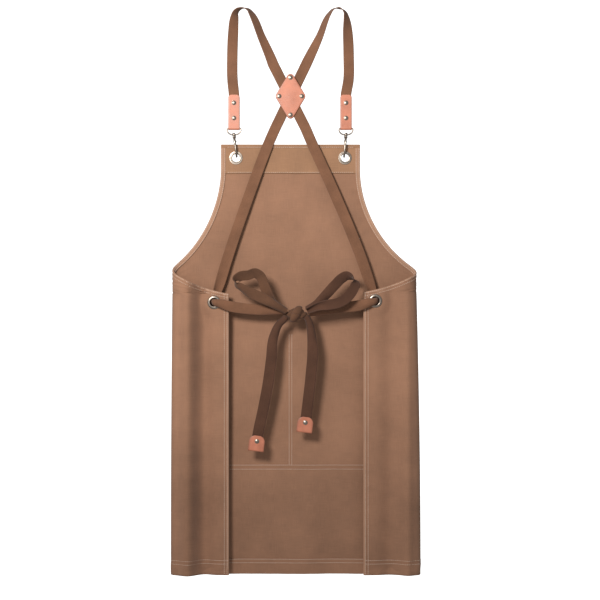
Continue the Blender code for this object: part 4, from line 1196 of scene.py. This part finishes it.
# ---- leather ------------------------------------------------------------------------------------
def mark_edge(mesh, burnt):
    """Store how burnished a leather mesh is at each point."""
    layer = mesh.attributes.new("edge", "FLOAT", "POINT")
    layer.data.foreach_set("value", np.array(burnt, np.float32).ravel())
    return mesh


def leather_mesh(rows, bevel=0.0004):
    """A strip of leather through rows of y, z and width, with softened, burnished edges."""
    run = np.gradient(np.array([row[:2] for row in rows]), axis=0)
    run /= np.linalg.norm(run, axis=1)[:, None]
    t = LEATHER / 2
    rings, edges = [], []
    for (y, z, w), (ry, rz) in zip(rows, run):
        half = w / 2
        section = []
        for sign in (1, -1):
            section += [(x, sign * t) for x in np.linspace(-half + bevel, half - bevel, 9)[::sign]]
            section += [(sign * (half - bevel * 0.3), sign * (t - bevel * 0.3)),
                        (sign * half, sign * (t - bevel)), (sign * half, 0.0)]
        rings.append([(x, y - rz * h, z + ry * h) for x, h in section])
        edges.append([smoothstep(half - 0.0012, half - 0.0001, abs(x)) for x, _ in section])
    edges = np.array(edges)
    edges[:2] = edges[-2:] = 1.0
    return mark_edge(outward(sweep("leather", np.array(rings))), edges)


def folded_leather(top, fold, radius, width, corner):
    """Rows of a strip folded round the bottom, with two round-cornered leaves upwards."""
    leaf = [(z, width) for z in np.linspace(fold + 0.0006, top - corner, 9)[:-1]]
    for angle in (math.radians(90 * k / 10) for k in range(10, -1, -1)):
        leaf.append((top - corner * (1 - math.cos(angle)), width - 2 * corner * (1 - math.sin(angle))))
    arc = [(-radius * math.cos(a), fold - radius * math.sin(a), width)
           for a in (math.pi * k / 14 for k in range(15))]
    return [(-radius, *q) for q in leaf[::-1]] + arc + [(radius, *q) for q in leaf]


def shoulder_tab(side):
    """The leather loop that joins a strap to its swivel eye, and its two rivets."""
    label = SIDES[side]
    radius = RING_WIRE + SEAT + LEATHER / 2
    mesh = leather_mesh(folded_leather(TAB_TOP, RING_BAR_Z, radius, TAB_WIDTH, TAB_CORNER))
    mesh.transform(Matrix.Translation((TAB_X[side], 0, 0)))
    add_piece(f"{label}_leather_tab", mesh, "tan_leather", stands_for=[f"{label}_tab"])
    for place, z in zip(("upper", "lower"), TAB_RIVETS):
        rivet(f"{label}_{place}_rivet", TAB_X[side], 0, z, 2 * radius + LEATHER,
              f"{label}_tab_{place}_rivet")


def round_hull(centres, radius, steps):
    """The outline round equal circles on the corners of a convex shape, anticlockwise."""
    outline = []
    count = len(centres)
    for i in range(count):
        here = Vector(centres[i])
        before = here - Vector(centres[i - 1])
        after = Vector(centres[(i + 1) % count]) - here
        start = math.atan2(before.y, before.x) - math.pi / 2
        end = math.atan2(after.y, after.x) - math.pi / 2
        if end < start:
            end += 2 * math.pi
        for k in range(steps + 1):
            angle = start + (end - start) * k / steps
            outline.append((here.x + radius * math.cos(angle), here.y + radius * math.sin(angle)))
    return outline


def diamond(y, bulge):
    """A leather diamond with softened edges, slightly domed where the straps cross under it."""
    corners = [(0, -CROSS_RIVET_Z), (CROSS_RIVET_X, 0), (0, CROSS_RIVET_Z), (-CROSS_RIVET_X, 0)]
    outline = []
    hull = round_hull(corners, CROSS_MARGIN, 12)
    for a, b in zip(hull, hull[1:] + hull[:1]):
        parts = max(1, int(math.dist(a, b) / 0.003))
        outline += [(a[0] + (b[0] - a[0]) * k / parts, a[1] + (b[1] - a[1]) * k / parts)
                    for k in range(parts)]
    t, bevel = LEATHER / 2, 0.0004
    layers = [(0.002, t, 0), (0.25, t, 0), (0.5, t, 0), (0.7, t, 0), (0.85, t, 0), (0.95, t, 0.4),
              (0.985, t - 0.0001, 1), (1.0, t - bevel, 1), (1.0, -t + bevel, 1),
              (0.985, -t + 0.0001, 1), (0.95, -t, 0.4), (0.7, -t, 0), (0.4, -t, 0), (0.002, -t, 0)]
    rings = []
    for share, h, _ in layers:
        ring = []
        for px, pz in ((x * share, z * share) for x, z in outline):
            dome = bulge * math.exp(-(px / 0.014) ** 2 - (pz / 0.022) ** 2)
            ring.append((px, y - h - dome, CROSS_Z + pz))
        rings.append(ring)
    return mark_edge(outward(sweep("diamond", np.array(rings))),
                     [[burnt] * len(outline) for _, _, burnt in layers])


def cross_patch():
    """The two riveted diamonds round the crossed straps."""
    reach = WEB + SEAT / 2 + SEAT + LEATHER / 2
    for label, y, bulge in (("outer", -reach, 0.0004), ("inner", reach, 0.0)):
        add_piece(f"cross_leather_{label}", diamond(CROSS_Y + y, bulge), "tan_leather",
                  stands_for=[f"cross_patch_{label}"])
    for label, x, z in (("bottom", 0, -CROSS_RIVET_Z), ("right", CROSS_RIVET_X, 0),
                        ("top", 0, CROSS_RIVET_Z), ("left", -CROSS_RIVET_X, 0)):
        rivet(f"patch_{label}_rivet", x, CROSS_Y, CROSS_Z + z, 2 * reach + LEATHER,
              f"cross_{label}_rivet")


def tie_tail(side, route, lean=math.radians(7)):
    """One hanging end of the ties, with its riveted leather tip where the route ends."""
    label = SIDES[side]
    body = f"{label}_tail"
    x, y, z = route[-1][:3]
    inside = TIP_LENGTH - LEATHER - 0.0015
    route = route + [(x - math.tan(lean) * inside, y, z - inside, WEB_WIDTH, 0)]
    # The tail takes the webbing with deeper painted shade.
    add_piece(f"{label}_tail_webbing", band_mesh("tail", route), "tail_webbing", body,
              [f"{label}_tie_tail"])
    radius = WEB / 2 + SEAT + LEATHER / 2
    fold = radius + LEATHER / 2 - TIP_LENGTH
    seat = Matrix.Translation((x, y, z)) @ Matrix.Rotation(lean, 4, "Y")
    mesh = leather_mesh(folded_leather(0, fold, radius, TIP_WIDTH, TIP_CORNER))
    mesh.transform(seat)
    add_piece(f"{label}_leather_tip", mesh, "tan_leather", body, [f"{label}_tip"])
    place = seat @ Vector((0, 0, -TIP_RIVET))
    rivet(f"{label}_end_rivet", *place, 2 * radius + LEATHER, f"{label}_tip_rivet", body, lean)


def tie_tails():
    """The two ends that hang from the knot."""
    w = WEB_WIDTH
    tie_tail(-1, [(-0.0080, -0.0385, -0.6065, 0.009, 0), (-0.0125, -0.0375, -0.6125, 0.010, 0),
                  (-0.0207, -0.0370, -0.6196, 0.012, 0), (-0.0325, -0.0370, -0.6452, 0.017, 0),
                  (-0.0378, -0.0365, -0.6925, w, 0), (-0.0443, -0.0360, -0.7397, w, 0),
                  (-0.0532, -0.0355, -0.7870, w, 0), (-0.0640, -0.0350, -0.8390, w, 0)])
    tie_tail(1, [(0.0300, -0.0385, -0.6055, 0.009, 0), (0.0345, -0.0375, -0.6125, 0.010, 0),
                 (0.0376, -0.0370, -0.6215, 0.012, 0), (0.0414, -0.0370, -0.6452, 0.016, 0),
                 (0.0433, -0.0365, -0.6728, w, 0), (0.0404, -0.0360, -0.7161, w, 0),
                 (0.0345, -0.0355, -0.7700, w, 0), (0.0305, -0.0350, -0.8025, w, 0)])


# ---- stage --------------------------------------------------------------------------------------
def placed(name, data, location=(0, 0, 0), target=None):
    """An object in the scene, turned so that its -Z axis points at a target."""
    obj = bpy.data.objects.new(name, data)
    bpy.context.scene.collection.objects.link(obj)
    obj.location = location
    if target:
        obj.rotation_euler = (Vector(target) - Vector(location)).to_track_quat("-Z", "Y").to_euler()
    return obj


def stage():
    """An evenly lit room with a pale floor and backdrop, and a soft key light from the upper left."""
    scene = bpy.context.scene
    scene.view_settings.view_transform = "Standard"
    scene.world = bpy.data.worlds.new("studio")
    scene.world.use_nodes = True
    air = scene.world.node_tree.nodes["Background"]
    air.inputs["Color"].default_value = (1, 1, 1, 1)
    air.inputs["Strength"].default_value = ROOM_LIGHT

    rim = [(FLOOR_REACH * math.cos(a), FLOOR_REACH * math.sin(a), FLOOR_Z)
           for a in (2 * math.pi * k / 64 for k in range(64))]
    floor = placed("floor", make_mesh("floor", rim, [range(64)]))
    floor.data.materials.append(Look("pale_floor", (0.84, 0.84, 0.84), 0.9).material)

    white = Look("white_backdrop", (1, 1, 1), 1.0, Emission_Color=(1, 1, 1, 1), Emission_Strength=1.0)
    backdrop = placed("backdrop", turned("backdrop", [
        (0, -12), (6, -10.4), (10.4, -6), (12, 0), (10.4, 6), (6, 10.4), (0, 12)]))
    backdrop.data.materials.append(white.material)
    for kind in ("diffuse", "glossy", "transmission", "shadow", "volume_scatter"):
        setattr(backdrop, f"visible_{kind}", False)

    light = bpy.data.lights.new("key", "AREA")
    light.shape = "DISK"
    light.size = KEY_SIZE
    light.energy = KEY_POWER
    light.color = (1.0, 0.98, 0.95)
    light.spread = KEY_SPREAD
    placed("key", light, KEY_PLACE, KEY_AIM).visible_camera = False

    camera = bpy.data.cameras.new("camera")
    camera.sensor_width = 36.0
    camera.lens = 36.0 * VIEW_DISTANCE / VIEW_WIDTH
    camera.clip_end = 60
    scene.camera = placed("camera", camera, (VIEW_X, -VIEW_DISTANCE, VIEW_Z), (VIEW_X, 0, VIEW_Z))


stage()

canvas = canvas_body()
facing = bib_top()
for side in SIDES:
    edge_sewing(side)
bottom_hem()
pocket = front_pocket()
for side, label in SIDES.items():
    eyelet(f"{label}_bib", side * BIB_EYELET[0], CANVAS / 2, BIB_EYELET[1], CANVAS + SEAT + FACING, 1)
    x, z = WAIST_EYELETS[side]
    eyelet(f"{label}_waist", x, FLAP_Y - CANVAS / 2, z, CANVAS, -1)
    shoulder_tab(side)
    swivel_eye(side)
    snap_hook(side)
straps()
cross_patch()
bow()
tie_tails()

cut_area = 0.0
for side in SIDES:
    heights = np.linspace(BIB_TOP, HEM, 400)
    cut_area += float(np.trapz([half_width(side, z) for z in heights], -heights))
flat_width = half_width(-1, HEM) + half_width(1, HEM)
